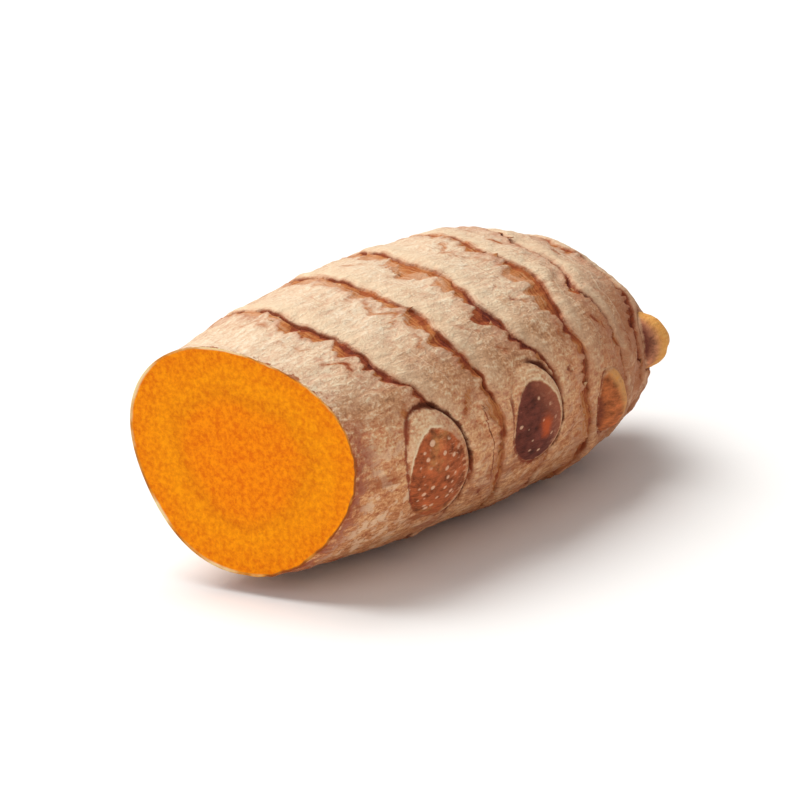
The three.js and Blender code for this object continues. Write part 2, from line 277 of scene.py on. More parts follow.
def noted(number, turn, which):
    """A ring's note at any turn: 1 for how far it strays, 2 for its strip's width, 3 for its tone."""
    places = [note[0] for note in RING_NOTES[number]]
    values = [note[which] for note in RING_NOTES[number]]
    return np.interp(np.degrees(turn), places, values, period=360)


print("Notes:", sum(len(notes) for notes in RING_NOTES))

# %% [markdown]
# ## The grid that becomes the skin
# The skin starts as a flat grid primitive that is rolled up: one way round the body, the other way
# from the middle of the cut face, over its rim, along the body and in to the tip. Its rows follow
# the rings and crowd together there, so that a thin crevice stays a clean line, and they are wide
# apart where nothing happens. A sphere or a sculpted block would waste its faces on the smooth
# stretches.

# %% Rows of the grid
SIDES = 400
FACE_ROWS = 18  # from the middle of the cut face to just inside its rim
GAP_ROWS = (43, 38, 34, 28, 24, 17, 13)  # from the rim to the first ring, and so on to the last
NOSE_ROWS = 28  # from the last ring to the tip
CROWDING = 0.72  # how much tighter rows are beside a ring than on average
ROWS = FACE_ROWS + sum(GAP_ROWS) + NOSE_ROWS + 1


def cut_at(turn):
    """The cut's distance along the body at a turn: its edge lies in one plane."""
    along = np.zeros_like(turn)
    for _ in range(20):
        along = CUT_SLANT * body_point(along, turn)[..., 1]
    return along


def crowd(shares):
    """Moves even shares of a stretch towards both its ends."""
    return shares - CROWDING * np.sin(2 * np.pi * shares) / (2 * np.pi)


turns = np.linspace(0, 2 * np.pi, SIDES + 1)
courses, wholeness = [], []
for number in range(len(RINGS)):
    nearby = [turns + math.radians(degrees) for degrees in (-3.0, -1.5, 0.0, 1.5, 3.0)]
    stray = np.mean([noted(number, beside, 1) for beside in nearby], axis=0)
    smooth_course = ring_at(number, turns) + stray
    line = body_point(smooth_course, turns)
    jog = mottle(line, 5.0, 200 + number)  # a torn ring jumps sideways here and there
    fine_course = 0.18 * mottle(line, 1.9, number) + 0.10 * mottle(line, 0.7, number + 0.5)
    courses.append(smooth_course + 0.22 * np.tanh(5 * jog) + fine_course)
    wholeness.append(ease(np.abs(jog), 0.02, 0.14))
edges = [cut_at(turns)] + courses
rows_along = []
for start, end, count in zip(edges, edges[1:], GAP_ROWS):
    for share in crowd(np.arange(count) / count):
        rows_along.append(start + (end - start) * share)
last_radius = plain_radius(courses[-1])
for share in np.linspace(0, 1, NOSE_ROWS + 1):
    crowded = share - 0.5 * np.sin(np.pi * share) / np.pi
    rows_along.append(along_at_radius(last_radius * (1 - crowded)))
along = np.array(rows_along)
turn = np.broadcast_to(turns, along.shape).copy()
print("Grid:", SIDES, "sides by", ROWS, "rows, about", 2 * SIDES * ROWS, "triangles")

# %% [markdown]
# ## Tighter faces round the buds
# The edge of a bud crosses the grid at a slant, which would leave it ragged. So the grid is drawn
# together there, like cloth gathered along an oval thread: points near a bud's edge slide towards
# it over the body, and the edge gets four times as many faces as the skin beside it.

# %% Gather the grid along each bud's edge
GATHER_AT = 0.96
GATHER_WIDTH = 0.5
GATHER = 0.72


def bud_places(bud, along, turn):
    """A point's place on a bud: across it and along it, each from -1 to 1 inside its oval."""
    middle = math.radians(bud["turn"])
    lean = math.radians(bud["lean"])
    radius = float(plain_radius(np.array(bud["at"])))
    slope = float(plain_radius(np.array(bud["at"] + 0.5)) - plain_radius(np.array(bud["at"] - 0.5)))
    onward = (along - bud["at"]) * math.hypot(1, slope)
    round_about = -turn_between(turn, middle) * radius
    across = onward * math.cos(lean) + round_about * math.sin(lean)
    lengthwise = round_about * math.cos(lean) - onward * math.sin(lean)
    return across / (bud["width"] / 2), lengthwise / (bud["length"] / 2)


for bud in SIDE_BUDS:
    across, lengthwise = bud_places(bud, along, turn)
    reach = np.hypot(across, lengthwise)
    pull = GATHER * (reach - GATHER_AT) * hump(reach - GATHER_AT, GATHER_WIDTH)
    shrink = pull / np.maximum(reach, 0.05)
    lean = math.radians(bud["lean"])
    x = -shrink * across * bud["width"] / 2
    y = -shrink * lengthwise * bud["length"] / 2
    radius = float(plain_radius(np.array(bud["at"])))
    slope = float(plain_radius(np.array(bud["at"] + 0.5)) - plain_radius(np.array(bud["at"] - 0.5)))
    along = along + (x * math.cos(lean) - y * math.sin(lean)) / math.hypot(1, slope)
    turn = turn - (x * math.sin(lean) + y * math.cos(lean)) / radius
largest_slide = float(np.degrees(np.abs(turn - turns)).max())
print("Largest slide round the body:", round(largest_slide, 2), "degrees")

# %% [markdown]
# ## The relief of the skin
# Each scale ended in a torn, papery edge. Between that edge and the ring lies a strip of younger,
# red-brown skin, a little lower, and then the crevice of the ring itself. Beyond it the next
# stretch begins with a raised, pale lip. All of it varies as it goes round. The relief is moved out
# from the plain body, square to it, so it shows in the outline and not only in the shading.

# %% Sizes of the rings' relief, in millimetres
STRIP_DEPTH = 0.08  # a bare strip lies this far below the scale beside it
LAYER_DEPTH = 0.09  # its second layer lies this much deeper
WIDEST_STRIP = 3.3
ECHO_DEPTH = 0.05  # an echo is a short second tear, a little way before a strip
ECHO_WIDTH = 0.16
TORN_STEP = (-0.03, 0.07)  # a torn edge steps down between these distances from it
CURL_HEIGHT = 0.05  # how far a torn edge curls up
LIP_HEIGHT = 0.11
LIP_LENGTH = 2.0
CREVICE_WIDTH = 0.11
DEEPEST_CREVICE = 0.4
print("Lowest place of a ring:", round(STRIP_DEPTH + LAYER_DEPTH + DEEPEST_CREVICE, 2), "mm deep")


# %% What varies as a ring goes round
def round_ring(number):
    """A ring's course, strip, second layer, crevice depth, tone, and its echo's place and width."""
    line = body_point(courses[number], turns)
    ragged = mottle(line, 1.3, 30 + number)
    teeth = np.abs(mottle(line, 0.8, 50 + number))
    strip = noted(number, turns, 2) * (1.25 + 0.45 * ragged - 0.7 * teeth)
    strip = strip + 0.2 * mottle(line, 0.7, 110 + number)
    strip = np.clip(strip * (0.5 + 0.5 * wholeness[number]) - 0.04, -0.2, WIDEST_STRIP)
    layer = strip * np.clip(0.45 + 0.6 * mottle(line, 1.6, 130 + number), 0, 0.8)
    depth = np.clip(0.14 + 0.26 * mottle(line, 2.6, 70 + number), 0.0, DEEPEST_CREVICE)
    depth = depth * wholeness[number]
    echo_at = -1.5 - 0.9 * mottle(line, 3.0, 190 + number) - np.maximum(strip, 0)
    echo_width = ECHO_WIDTH * (2.4 * mottle(line, 2.2, 210 + number) - 0.4)
    return courses[number], strip, layer, depth, noted(number, turns, 3), echo_at, echo_width


ring_values = [round_ring(number) for number in range(len(RINGS))]
strip_edges = [values[1] for values in ring_values]
print("Widest bare strip:", round(max(float(strip.max()) for strip in strip_edges), 2), "mm")

# %% Torn edges, crevices and lips
past_ring = np.full(along.shape, -99.0)  # mm past the nearest ring, less than 0 on its cut side
torn_inside = np.full(along.shape, -4.0)  # mm inside a bare strip
layer_inside = np.full(along.shape, -1.0)  # mm inside the deeper layer of a strip
strip_dark = np.zeros(along.shape)
crevice_here = np.zeros(along.shape)
rings_relief = np.zeros(along.shape)
body = body_point(along, turn)
fade = np.sqrt(plain_radius(along) / BELLY_RADIUS)  # the relief is lower where the root is thin
for values in ring_values:
    at_turn = turn % (2 * np.pi)
    course, strip, layer, depth, darkness, echo_at, echo_width = (
        np.interp(at_turn, turns, value) for value in values
    )
    past = along - course
    inside = np.minimum(past + strip, 0.02 - past)
    inner = np.minimum(past + layer, 0.02 - past)
    echo = echo_width - np.abs(past - echo_at)
    bare = STRIP_DEPTH * ease(inside, *TORN_STEP) + LAYER_DEPTH * ease(inner, *TORN_STEP)
    bare += ECHO_DEPTH * ease(echo, -0.08, 0.1)
    lip = (LIP_HEIGHT + 0.2 * depth) * ease(past, -0.05, 0.75)
    lip *= hump(np.maximum(past, 0), LIP_LENGTH)
    curl = CURL_HEIGHT * hump(past + strip + 0.18, 0.2) * (past < 0)
    crevice = depth * hump(past, CREVICE_WIDTH)
    rings_relief += fade * (lip + curl - crevice - bare)
    nearest = np.abs(past) < np.abs(past_ring)
    past_ring = np.where(nearest, past, past_ring)
    torn_inside = np.maximum(torn_inside, np.maximum(inside, echo))
    layer_inside = np.maximum(layer_inside, inner)
    strip_dark = np.where(nearest, darkness, strip_dark)
    crevice_here = np.maximum(crevice_here, depth / DEEPEST_CREVICE * hump(past, 0.16))
print("Relief of the rings:", round(float(np.ptp(rings_relief)), 2), "mm from lowest to highest")

# %% [markdown]
# ## The relief of the buds
# A dormant bud is an oval mound in a groove, like a moat. Its own scale has fallen and left a bare
# scar. What is left of the scale stands round the scar as a hood, and the hood's edge, the lid, is
# thickest on one side. A sculptor would push each bud out by hand. Here all of it follows from one
# value, how far a point is from the middle of the oval: 0 in the middle and 1 on its edge. The
# groove is filled on one side, where the hood runs over into the skin.

# %% Sizes of the buds' relief, in millimetres
MOAT_DEPTH = 0.15
MOAT_DEEPER_AT_TIP = 0.10  # how much deeper the groove is on the tip's side
MOAT_WIDTH = 0.14
LID_HEIGHT = 0.10
LID_WIDTH = 0.17
SCAR_DEPTH = 0.11
LEAF_DEPTH = 0.09  # how deep the lines between the young leaves of a pale bud of 4 mm are
AWAY = 9.0  # a place far outside any bud
print("Widest bud:", max(bud["width"] for bud in SIDE_BUDS), "mm")

# %% Buds: an oval mound in a groove, with a bare scar under a hood
bud_reach = np.full(along.shape, AWAY)
bud_place = np.full(along.shape + (3,), AWAY)
scar_place = np.full(along.shape + (3,), AWAY)
bud_tone = np.zeros(along.shape)
lid_light = np.zeros(along.shape)
groove_open = np.zeros(along.shape)
buds_relief = np.zeros(along.shape)
for bud, look in zip(SIDE_BUDS, BUD_LOOKS):
    across, lengthwise = bud_places(bud, along, turn)
    uneven = 1 + 0.025 * mottle(body, 3.5, 90 + bud["ring"])
    reach = np.hypot(across, lengthwise) * uneven
    scar_across = (across - look["shift"][0]) / look["scar"][0]
    scar_lengthwise = (lengthwise - look["shift"][1]) / look["scar"][1]
    scar = np.hypot(scar_across, scar_lengthwise) * uneven
    mound = bud["rise"] * (1 + look["tilt"] * across) * np.maximum(1 - reach**2, 0) ** look["dome"]
    half = bud["width"] / 2
    direction = np.arctan2(lengthwise, across)
    open_here = 1 - ease(np.cos(direction - math.radians(look["filled"])), 0.72, 0.95)
    moat = MOAT_DEPTH + MOAT_DEEPER_AT_TIP * np.clip(across, -1, 1)
    moat = moat * hump((reach - 1.03) * half, MOAT_WIDTH) * open_here
    lid_turn = math.radians(look["lid"])
    lid = ease(np.cos(np.arctan2(scar_lengthwise, scar_across) - lid_turn), 0.0, 0.9)
    lid *= 1.0 if look["tone"] < 0.1 else 0.7
    lid_edge = LID_HEIGHT * ease(lid, 0.4, 0.9) * hump((scar - 1.05) * half, LID_WIDTH)
    lid_edge = lid_edge * (reach < 1)
    if look["tone"] > 0.4:
        leafed = np.abs(np.sin(2.3 * np.pi * np.hypot(across - 0.25, lengthwise)))
        mound -= LEAF_DEPTH * bud["width"] / 4 * (1 - leafed) ** 2 * ease(-reach, -1.0, -0.8)
    scar_floor = -SCAR_DEPTH * ease(-scar, -1.02, -0.9) * (look["tone"] < 0.55)
    buds_relief += mound - moat + lid_edge + scar_floor
    rings_relief *= ease(reach, 0.98, 1.06)
    crevice_here *= ease(reach, 0.98, 1.06)
    torn_inside = np.where(reach < 1.02, -4.0, torn_inside)
    layer_inside = np.where(reach < 1.02, -1.0, layer_inside)
    closer = (reach < bud_reach) & (reach < 2)
    bud_reach = np.where(closer, reach, bud_reach)
    bud_tone = np.where(closer, look["tone"], bud_tone)
    lid_light = np.where(closer, lid, lid_light)
    groove_open = np.where(closer, open_here, groove_open)
    closer = closer[..., None]
    bud_now = np.stack([across * uneven, lengthwise * uneven, 0 * turn], -1)
    scar_now = np.stack([scar_across * uneven, scar_lengthwise * uneven, 0 * turn], -1)
    bud_place = np.where(closer, bud_now, bud_place)
    scar_place = np.where(closer, scar_now, scar_place)
print("Relief of the buds:", round(float(np.ptp(buds_relief)), 2), "mm from lowest to highest")

# %% [markdown]
# ## Rootlets, the tip and the wrinkles
# Thin rootlets once grew from the underside, and each left a small pit with a raised rim. The end
# of the root is a bud of its own, wrapped in young leaves. Then the skin has shrunk while it dried,
# so it has low lumps, fine wrinkles and, near the tip, folds. Noise of a few sizes gives these. It
# is kept off the buds, and off the rim so that the cut stays flat.

# %% Scars of thin rootlets on the underside, given as mm from the cut and turn
ROOT_SCARS = [(6.5, 262), (10.2, 296), (15.4, 244), (17.0, 281), (23.4, 300), (24.8, 258), (30.6, 232),
              (31.5, 287), (36.2, 266), (40.1, 301), (42.0, 246)]
ROOT_SCAR_RADIUS = 0.55
root_scar = np.full(along.shape, AWAY)
for at, degrees in ROOT_SCARS:
    middle = body_point(np.array(at), np.array(math.radians(degrees)))
    root_scar = np.minimum(root_scar, np.linalg.norm(body - middle, axis=-1) / ROOT_SCAR_RADIUS)
ROOT_RIM_HEIGHT = 0.16
ROOT_PIT_DEPTH = 0.3
roots_relief = ROOT_RIM_HEIGHT * hump(root_scar, 1.3) - ROOT_PIT_DEPTH * hump(root_scar, 0.5)
print("Rootlet scars:", len(ROOT_SCARS))

# %% The bud at the tip
TIP_BUD_RADIUS = 3.1
TIP_BUD_RISE = 2.0
TIP_TONE = 0.62
from_tip = plain_radius(along)
tip_reach = from_tip / TIP_BUD_RADIUS
scales = 0.12 * np.abs(np.sin(2.2 * np.pi * tip_reach + 0.35 * np.sin(2 * turn)))
tip_mound = (TIP_BUD_RISE - scales) * np.maximum(1 - tip_reach**2, 0) ** 1.1
tip_relief = tip_mound - 0.25 * hump(from_tip - 3.3, 0.3)
on_tip = from_tip < 3.9
tip_at = np.stack([tip_reach * np.cos(turn), tip_reach * np.sin(turn), 0 * turn], -1)
bud_place = np.where(on_tip[..., None], tip_at, bud_place)
scar_place = np.where(on_tip[..., None], tip_at * 1.05, scar_place)
bud_tone = np.where(on_tip, TIP_TONE, bud_tone)
print("Bud at the tip:", 2 * TIP_BUD_RADIUS, "mm wide")

# %% Lumps, wrinkles and folds, and all the relief together
lumps = 0.15 * mottle(body, 6.0, 1) + 0.07 * mottle(body, 2.2, 2)
wrinkles = 0.045 * mottle(body, 0.6, 3, stretch=4.0) + 0.035 * mottle(body, 0.9, 4)
folds = (0.03 + 0.15 * ease(along, 28, 40)) * mottle(body, 3.2, 5, stretch=0.4)
calm = ease(along, 0.0, 0.6) * ease(bud_reach, 0.95, 1.2)
rings_relief *= 1 + 0.6 * ease(along, 30, 40)
relief = rings_relief + buds_relief + tip_relief + roots_relief
relief = relief + calm * fade * (lumps + wrinkles + folds)
skin_points = body + outward(along, turn) * relief[..., None]
skin_points[-1] = skin_points[-1].mean(axis=0)
print("Relief, mm:", round(float(relief.min()), 2), "to", round(float(relief.max()), 2))

# %% [markdown]
# ## The cut face
# The knife left a flat face. It has dried for an hour, so the flesh has sunk a hair below the rim of
# skin, and the ring between the core and the rind shows as a faint groove. Its rows carry on from
# the skin's grid: they run from the middle of the cut out to the rim.

# %% Rows of the cut face
face_shares = 1 - (1 - np.arange(FACE_ROWS) / FACE_ROWS) ** 1.6
rim = skin_points[0]
face_rows = []
for share in face_shares:
    sunk = 0.10 * ease(1 - share, 0.0, 0.03) + 0.10 * (1 - share**2) + 0.03 * hump(share - 0.64, 0.02)
    face_rows.append(rim * share + np.array([1.0, 0, 0]) * sunk)
points = np.concatenate([np.array(face_rows), skin_points])
from_cut = np.concatenate([np.repeat(face_shares[:, None], SIDES + 1, axis=1), 1 + along - along[0]])
print("Rows in all:", len(points))

# %% [markdown]
# ## Build the mesh
# The flat grid primitive comes in with its points in rows and columns. Each point reads its row and
# column from where it lies on the grid and moves to its place on the root. Then the two edges that
# meet along the root, and the points that meet in the middle of the cut and at the tip, are merged
# in edit mode, which closes the skin.

# %% Roll the grid into the root
for piece in bpy.context.selected_objects:
    piece.select_set(False)
bpy.ops.mesh.primitive_grid_add(x_subdivisions=SIDES, y_subdivisions=len(points) - 1, size=2)
root = bpy.context.object
root.name = "turmeric_skin"
flat = np.empty(len(root.data.vertices) * 3)
root.data.vertices.foreach_get("co", flat)
flat = flat.reshape(-1, 3)
column = np.rint((flat[:, 0] + 1) / 2 * SIDES).astype(int)
row = np.rint((flat[:, 1] + 1) / 2 * (len(points) - 1)).astype(int)
placed = points[row, column]
tilt = np.array(
    [
        [math.cos(PITCH), 0, -math.sin(PITCH)],
        [0, 1, 0],
        [math.sin(PITCH), 0, math.cos(PITCH)],
    ]
)
placed = (placed @ tilt.T + np.array(CUT_MIDDLE)) * MM
low, high = np.array(cad_box[0]), np.array(cad_box[1])
placed = np.clip(placed, low, high)  # the underside is pressed flat where the root lies
root.data.vertices.foreach_set("co", placed.ravel())
print("Box of the skin, mm:", (placed.min(axis=0) / MM).round(2), (placed.max(axis=0) / MM).round(2))

# %% [markdown]
# ## Values for the material
# The material has to know where on the root it is: how far past a ring, inside a bare strip or on
# a bud. A painted picture could tell it. Here each value is kept at the points of the mesh, as an
# attribute, because the relief was made from the same values, so its edges and the edges of the
# colours fall together.


# %% Keep the values on the points
def keep_on_points(name, values, on_face=None):
    """Keeps a value at each point of the skin, for its material to read."""
    if on_face is not None:
        face_rows_too = np.full((FACE_ROWS,) + values.shape[1:], on_face)
        values = np.concatenate([face_rows_too, values])
    vectors = values.ndim == 3
    attribute = root.data.attributes.new(name, "FLOAT_VECTOR" if vectors else "FLOAT", "POINT")
    kept = values[row, column].astype(np.float32).ravel()
    attribute.data.foreach_set("vector" if vectors else "value", kept)


for name, values, on_face in (
    ("past_ring", past_ring, -99.0),
    ("torn_inside", torn_inside, -4.0),
    ("layer_inside", layer_inside, -1.0),
    ("strip_dark", strip_dark, 0.0),
    ("crevice", crevice_here, 0.0),
    ("bud_place", bud_place, AWAY),
    ("scar_place", scar_place, AWAY),
    ("bud_tone", bud_tone, 0.0),
    ("lid_light", lid_light, 0.0),
    ("groove_open", groove_open, 0.0),
    ("root_scar", root_scar, AWAY),
    ("faces_up", outward(along, turn)[..., 2], 0.0),
    ("from_cut", from_cut, None),
):
    keep_on_points(name, values, on_face)
print("Values on each point:", len(root.data.attributes))

# %% Merge the seam and the poles
bpy.ops.object.mode_set(mode="EDIT")
bpy.ops.mesh.select_all(action="SELECT")
bpy.ops.mesh.remove_doubles(threshold=0.002 * MM)
bpy.ops.mesh.normals_make_consistent(inside=False)
bpy.ops.object.mode_set(mode="OBJECT")
print("Skin:", len(root.data.vertices), "points,", len(root.data.polygons), "faces")

# %% [markdown]
# ## Scraps of the scales
# Where a scale has rotted away, stiff brown scraps of it still stand on the ring. They are less than
# a millimetre long, but they show at the root's outline as a fringe. One scrap is a small grid, made
# solid and then repeated by an array. Each copy is then tapered, curled and stood on the skin by
# numbers, which is quicker than placing two hundred by hand.

# %% One scrap, made solid and repeated
SCRAPS = 240
SCRAP_THICKNESS = 0.05
bpy.ops.object.select_all(action="DESELECT")
bpy.ops.mesh.primitive_grid_add(x_subdivisions=2, y_subdivisions=4, size=2)
scraps = bpy.context.object
scraps.name = "scale_scraps"
solid = scraps.modifiers.new("solid", "SOLIDIFY")
solid.thickness = 0.2
solid.offset = 0.0
row_of_scraps = scraps.modifiers.new("row", "ARRAY")
row_of_scraps.count = SCRAPS
row_of_scraps.relative_offset_displace = (1.5, 0, 0)
for modifier in ("solid", "row"):
    bpy.ops.object.modifier_apply(modifier=modifier)
each = len(scraps.data.vertices) // SCRAPS
print("Scraps:", SCRAPS, "of", each, "points")

# %% Where a scrap stands
chance = np.random.default_rng(12)
ways_out = outward(along, turn)
ring_shares = np.array([plain_radius(course).mean() for course in courses])
ring_shares /= ring_shares.sum()


def place_on_a_ring():
    """A row and column of the grid on a ring or in its strip, off the buds and the underside."""
    while True:
        number = chance.choice(len(RINGS), p=ring_shares)
        column_at = chance.integers(0, SIDES)
        back_by = strip_edges[number][column_at] * chance.choice([1.0, 0.5, 0.05], p=[0.4, 0.3, 0.3])
        line = along[:, column_at] - (courses[number][column_at] - back_by)
        row_at = int(np.abs(line).argmin())
        if bud_reach[row_at, column_at] > 1.15 and ways_out[row_at, column_at, 2] > -0.85:
            return row_at, column_at


print("Share of the scraps on each ring:", ring_shares.round(2))

# %% Stand the scraps on the rings
flat = np.empty(len(scraps.data.vertices) * 3)
scraps.data.vertices.foreach_get("co", flat)
flat = flat.reshape(SCRAPS, each, 3)
sideways = flat[..., 0] - flat[..., 0].mean(axis=1, keepdims=True)
lengthwise = (flat[..., 1] + 1) / 2
thick = np.sign(flat[..., 2])
placed_scraps = np.empty(flat.shape)
for index in range(SCRAPS):
    row_at, column_at = place_on_a_ring()
    out = ways_out[row_at, column_at]
    onward = skin_points[row_at + 3, column_at] - skin_points[row_at - 3, column_at]
    onward -= out * (onward @ out)
    onward /= np.linalg.norm(onward)
    beside = np.cross(out, onward)
    swing = math.radians(chance.normal(0, 50))
    onward, beside = (
        onward * math.cos(swing) + beside * math.sin(swing),
        beside * math.cos(swing) - onward * math.sin(swing),
    )
    long, wide = chance.uniform(0.25, 0.75), chance.uniform(0.08, 0.28)
    lift, curl = chance.uniform(0.0, 0.2), chance.uniform(-0.25, 0.15)
    t = lengthwise[index][:, None]
    across = sideways[index][:, None] * wide * (1 - t) ** 0.7
    cupped = 0.15 * wide * (1 - sideways[index][:, None] ** 2)
    up = long * (lift * t + curl * t**2) + cupped - 0.06 + thick[index][:, None] * SCRAP_THICKNESS / 2
    base = skin_points[row_at, column_at]
    placed_scraps[index] = base + onward * long * t + beside * across + out * up
placed_scraps = (placed_scraps.reshape(-1, 3) @ tilt.T + np.array(CUT_MIDDLE)) * MM
scraps.data.vertices.foreach_set("co", np.clip(placed_scraps, low, high).ravel())
scraps.data.update()
print("Scraps stand on the rings, each under 1 mm long")

# %% [markdown]
# ## Helpers for the materials
# Colours are picked as they look on a screen, as hex values, but Blender mixes light in linear
# values, so one function turns them over. Another adds a node with its settings and links. Sizes of
# patterns are real sizes in millimetres. Two kinds of node do most of the work in this material,
# so their settings have a name: a Map Range node that fades smoothly from one value to another
# while its input goes from low to high, and a Mix node that blends two colours by a share.


# %% Colour and node helpers
def colour(hex_value):
    """An sRGB hex colour as Blender's linear red, green, blue and alpha."""
    channels = [int(hex_value[i : i + 2], 16) / 255 for i in (1, 3, 5)]
    return [c / 12.92 if c <= 0.04045 else ((c + 0.055) / 1.055) ** 2.4 for c in channels] + [1.0]


def per_metre(size):
    """How many patterns of a size in mm fit in a metre, as texture nodes count."""
    return 1 / (size * MM)


def add(tree, kind, inputs, output=0, stops=None, **settings):
    """Adds a node, sets or links its inputs, and gives back one of its outputs.

    The inputs are a tuple for the first sockets, or a dictionary by name or number.
    """
    node = tree.nodes.new(kind)
    for name, value in settings.items():
        setattr(node, name, value)
    for key, value in inputs.items() if isinstance(inputs, dict) else enumerate(inputs):
        if isinstance(value, bpy.types.NodeSocket):
            tree.links.new(value, node.inputs[key])
        else:
            node.inputs[key].default_value = value
    if stops:
        ramp = node.color_ramp
        while len(ramp.elements) < len(stops):
            ramp.elements.new(0.5)
        for element, (position, hex_value) in zip(ramp.elements, stops):
            element.position = position
            element.color = colour(hex_value)
    return node.outputs[output] if node.outputs else None


def new_material(name):
    """An empty node material, and its tree."""
    material = bpy.data.materials.new(name)
    material.use_nodes = True
    material.node_tree.nodes.clear()
    return material, material.node_tree


SMOOTH = {"interpolation_type": "SMOOTHSTEP"}  # a Map Range node's settings for a smooth fade
COLOURS = {"output": 2, "data_type": "RGBA"}  # a Mix node's settings for blending colours
print("A middle grey in linear values:", [round(value, 2) for value in colour("#808080")])


# %% [markdown]
# ## Material: the dry, papery skin
# Turmeric skin is a thin cork, dull and dusty. It is cream on the lips, pinker and browner before a
# ring, and speckled all over, with fibres running along the root. Its cream top and lips and its
# browner low side are partly its own colour and partly painted light and shade, and so is the
# contrast of its grain. The bare strips are red brown and the crevices darker, partly with painted
# shade. It is painted from the ground up, as with thin coats of paint: each coat is blended over
# what is there by a share from 0 to 1. A share is a smooth fade of some value, and two shares
# multiplied keep only where both are. Noise is added to a value before it is faded, so that no edge
# is even.

# %% Patterns of the skin
skin_material, skin = new_material("dry turmeric skin")
place = add(skin, "ShaderNodeTexCoord", (), output="Object")
fibre_place = add(
    skin,
    "ShaderNodeMapping",
    {"Vector": place, "Scale": (per_metre(0.95), per_metre(0.34), per_metre(0.34))},
)
fibres = add(
    skin,
    "ShaderNodeTexNoise",
    {"Vector": fibre_place, "Scale": 1.0, "Detail": 2.5, "Roughness": 0.6, "Distortion": 0.35},
)
grain, patches, stains = (
    add(
        skin,
        "ShaderNodeTexNoise",
        {"Vector": place, "Scale": per_metre(size), "Detail": detail, "Roughness": roughness},
    )
    for size, detail, roughness in ((0.24, 2.0, 0.6), (3.4, 4.0, 0.65), (1.2, 4.0, 0.65))
)
streak_place = add(
    skin,
    "ShaderNodeMapping",
    {"Vector": place, "Scale": (per_metre(7.0), per_metre(1.6), per_metre(1.6))},
)
streaks = add(
    skin,
    "ShaderNodeTexNoise",
    {"Vector": streak_place, "Scale": 1.0, "Detail": 4.0, "Roughness": 0.65},
)
print("Nodes in the skin so far:", len(skin.nodes))

# %% Values read from the points
past, torn, layer, dark, crevice, tone, lid_highlight_side, groove, rootlet, faces_up, from_rim = (
    add(skin, "ShaderNodeAttribute", (), output="Fac", attribute_name=name)
    for name in (
        "past_ring",
        "torn_inside",
        "layer_inside",
        "strip_dark",
        "crevice",
        "bud_tone",
        "lid_light",
        "groove_open",
        "root_scar",
        "faces_up",
        "from_cut",
    )
)
# A place on a bud is read as a vector, and its length is taken here: a length kept on the points
# would make a rounded edge ragged between them.
on_bud = add(skin, "ShaderNodeAttribute", (), output="Vector", attribute_name="bud_place")
on_scar = add(skin, "ShaderNodeAttribute", (), output="Vector", attribute_name="scar_place")
oval = add(skin, "ShaderNodeVectorMath", (on_bud,), output="Value", operation="LENGTH")
scar_edge = add(skin, "ShaderNodeVectorMath", (on_scar,), output="Value", operation="LENGTH")
tip_side = add(skin, "ShaderNodeSeparateXYZ", (on_bud,), output="X")
up_side = add(skin, "ShaderNodeSeparateXYZ", (on_bud,), output="Y")
print("Nodes in the skin so far:", len(skin.nodes))

# %% The ground colour, its dust and its grain, with painted light on top and painted shade below
# The ground colour goes from orange brown where the skin faces down to cream where it faces up: partly
# the skin's own colour, partly painted light on top and painted shade below.
facing_light_and_patches = add(skin, "ShaderNodeMath", (patches, 0.7, faces_up), operation="MULTIPLY_ADD")
ground_and_painted_light = add(
    skin,
    "ShaderNodeValToRGB",
    {"Fac": add(skin, "ShaderNodeMapRange", (facing_light_and_patches, -0.65, 1.35))},
    stops=[
        (0.0, "#C68253"), (0.36, "#D08C5C"), (0.6, "#D6976A"), (0.78, "#BE8A62"), (1.0, "#DFC3A4")
    ],
)
mixed = add(skin, "ShaderNodeMath", (grain, 0.8, fibres), operation="MULTIPLY_ADD")
# The dust is paler where the skin faces up: painted light.
dust_lit_on_top = add(
    skin,
    "ShaderNodeMix",
    {
        0: add(skin, "ShaderNodeMapRange", (faces_up, -0.3, 0.7), **SMOOTH),
        6: colour("#E3B68E"),
        7: colour("#E7D0B6"),
    },
    **COLOURS,
)
dusty = add(
    skin,
    "ShaderNodeMix",
    {
        0: add(skin, "ShaderNodeMapRange", (mixed, 0.84, 1.18, 0.0, 0.4), **SMOOTH),
        6: ground_and_painted_light,
        7: dust_lit_on_top,
    },
    **COLOURS,
)
# A grey overlay of the grain, stronger on the sides and below than on top: painted light and shade of
# the fine relief where light grazes it.
relief_light = add(
    skin,
    "ShaderNodeValToRGB",
    {"Fac": add(skin, "ShaderNodeMapRange", (mixed, 0.62, 1.16))},
    stops=[(0.0, "#767676"), (0.45, "#B8B8B8"), (1.0, "#E8E8E8")],
)
skin_with_painted_relief_shade = add(
    skin,
    "ShaderNodeMix",
    {
        0: add(skin, "ShaderNodeMapRange", (faces_up, 0.2, 0.95, 0.95, 0.4), **SMOOTH),
        6: dusty,
        7: relief_light,
    },
    blend_type="OVERLAY",
    **COLOURS,
)
print("Nodes in the skin so far:", len(skin.nodes))
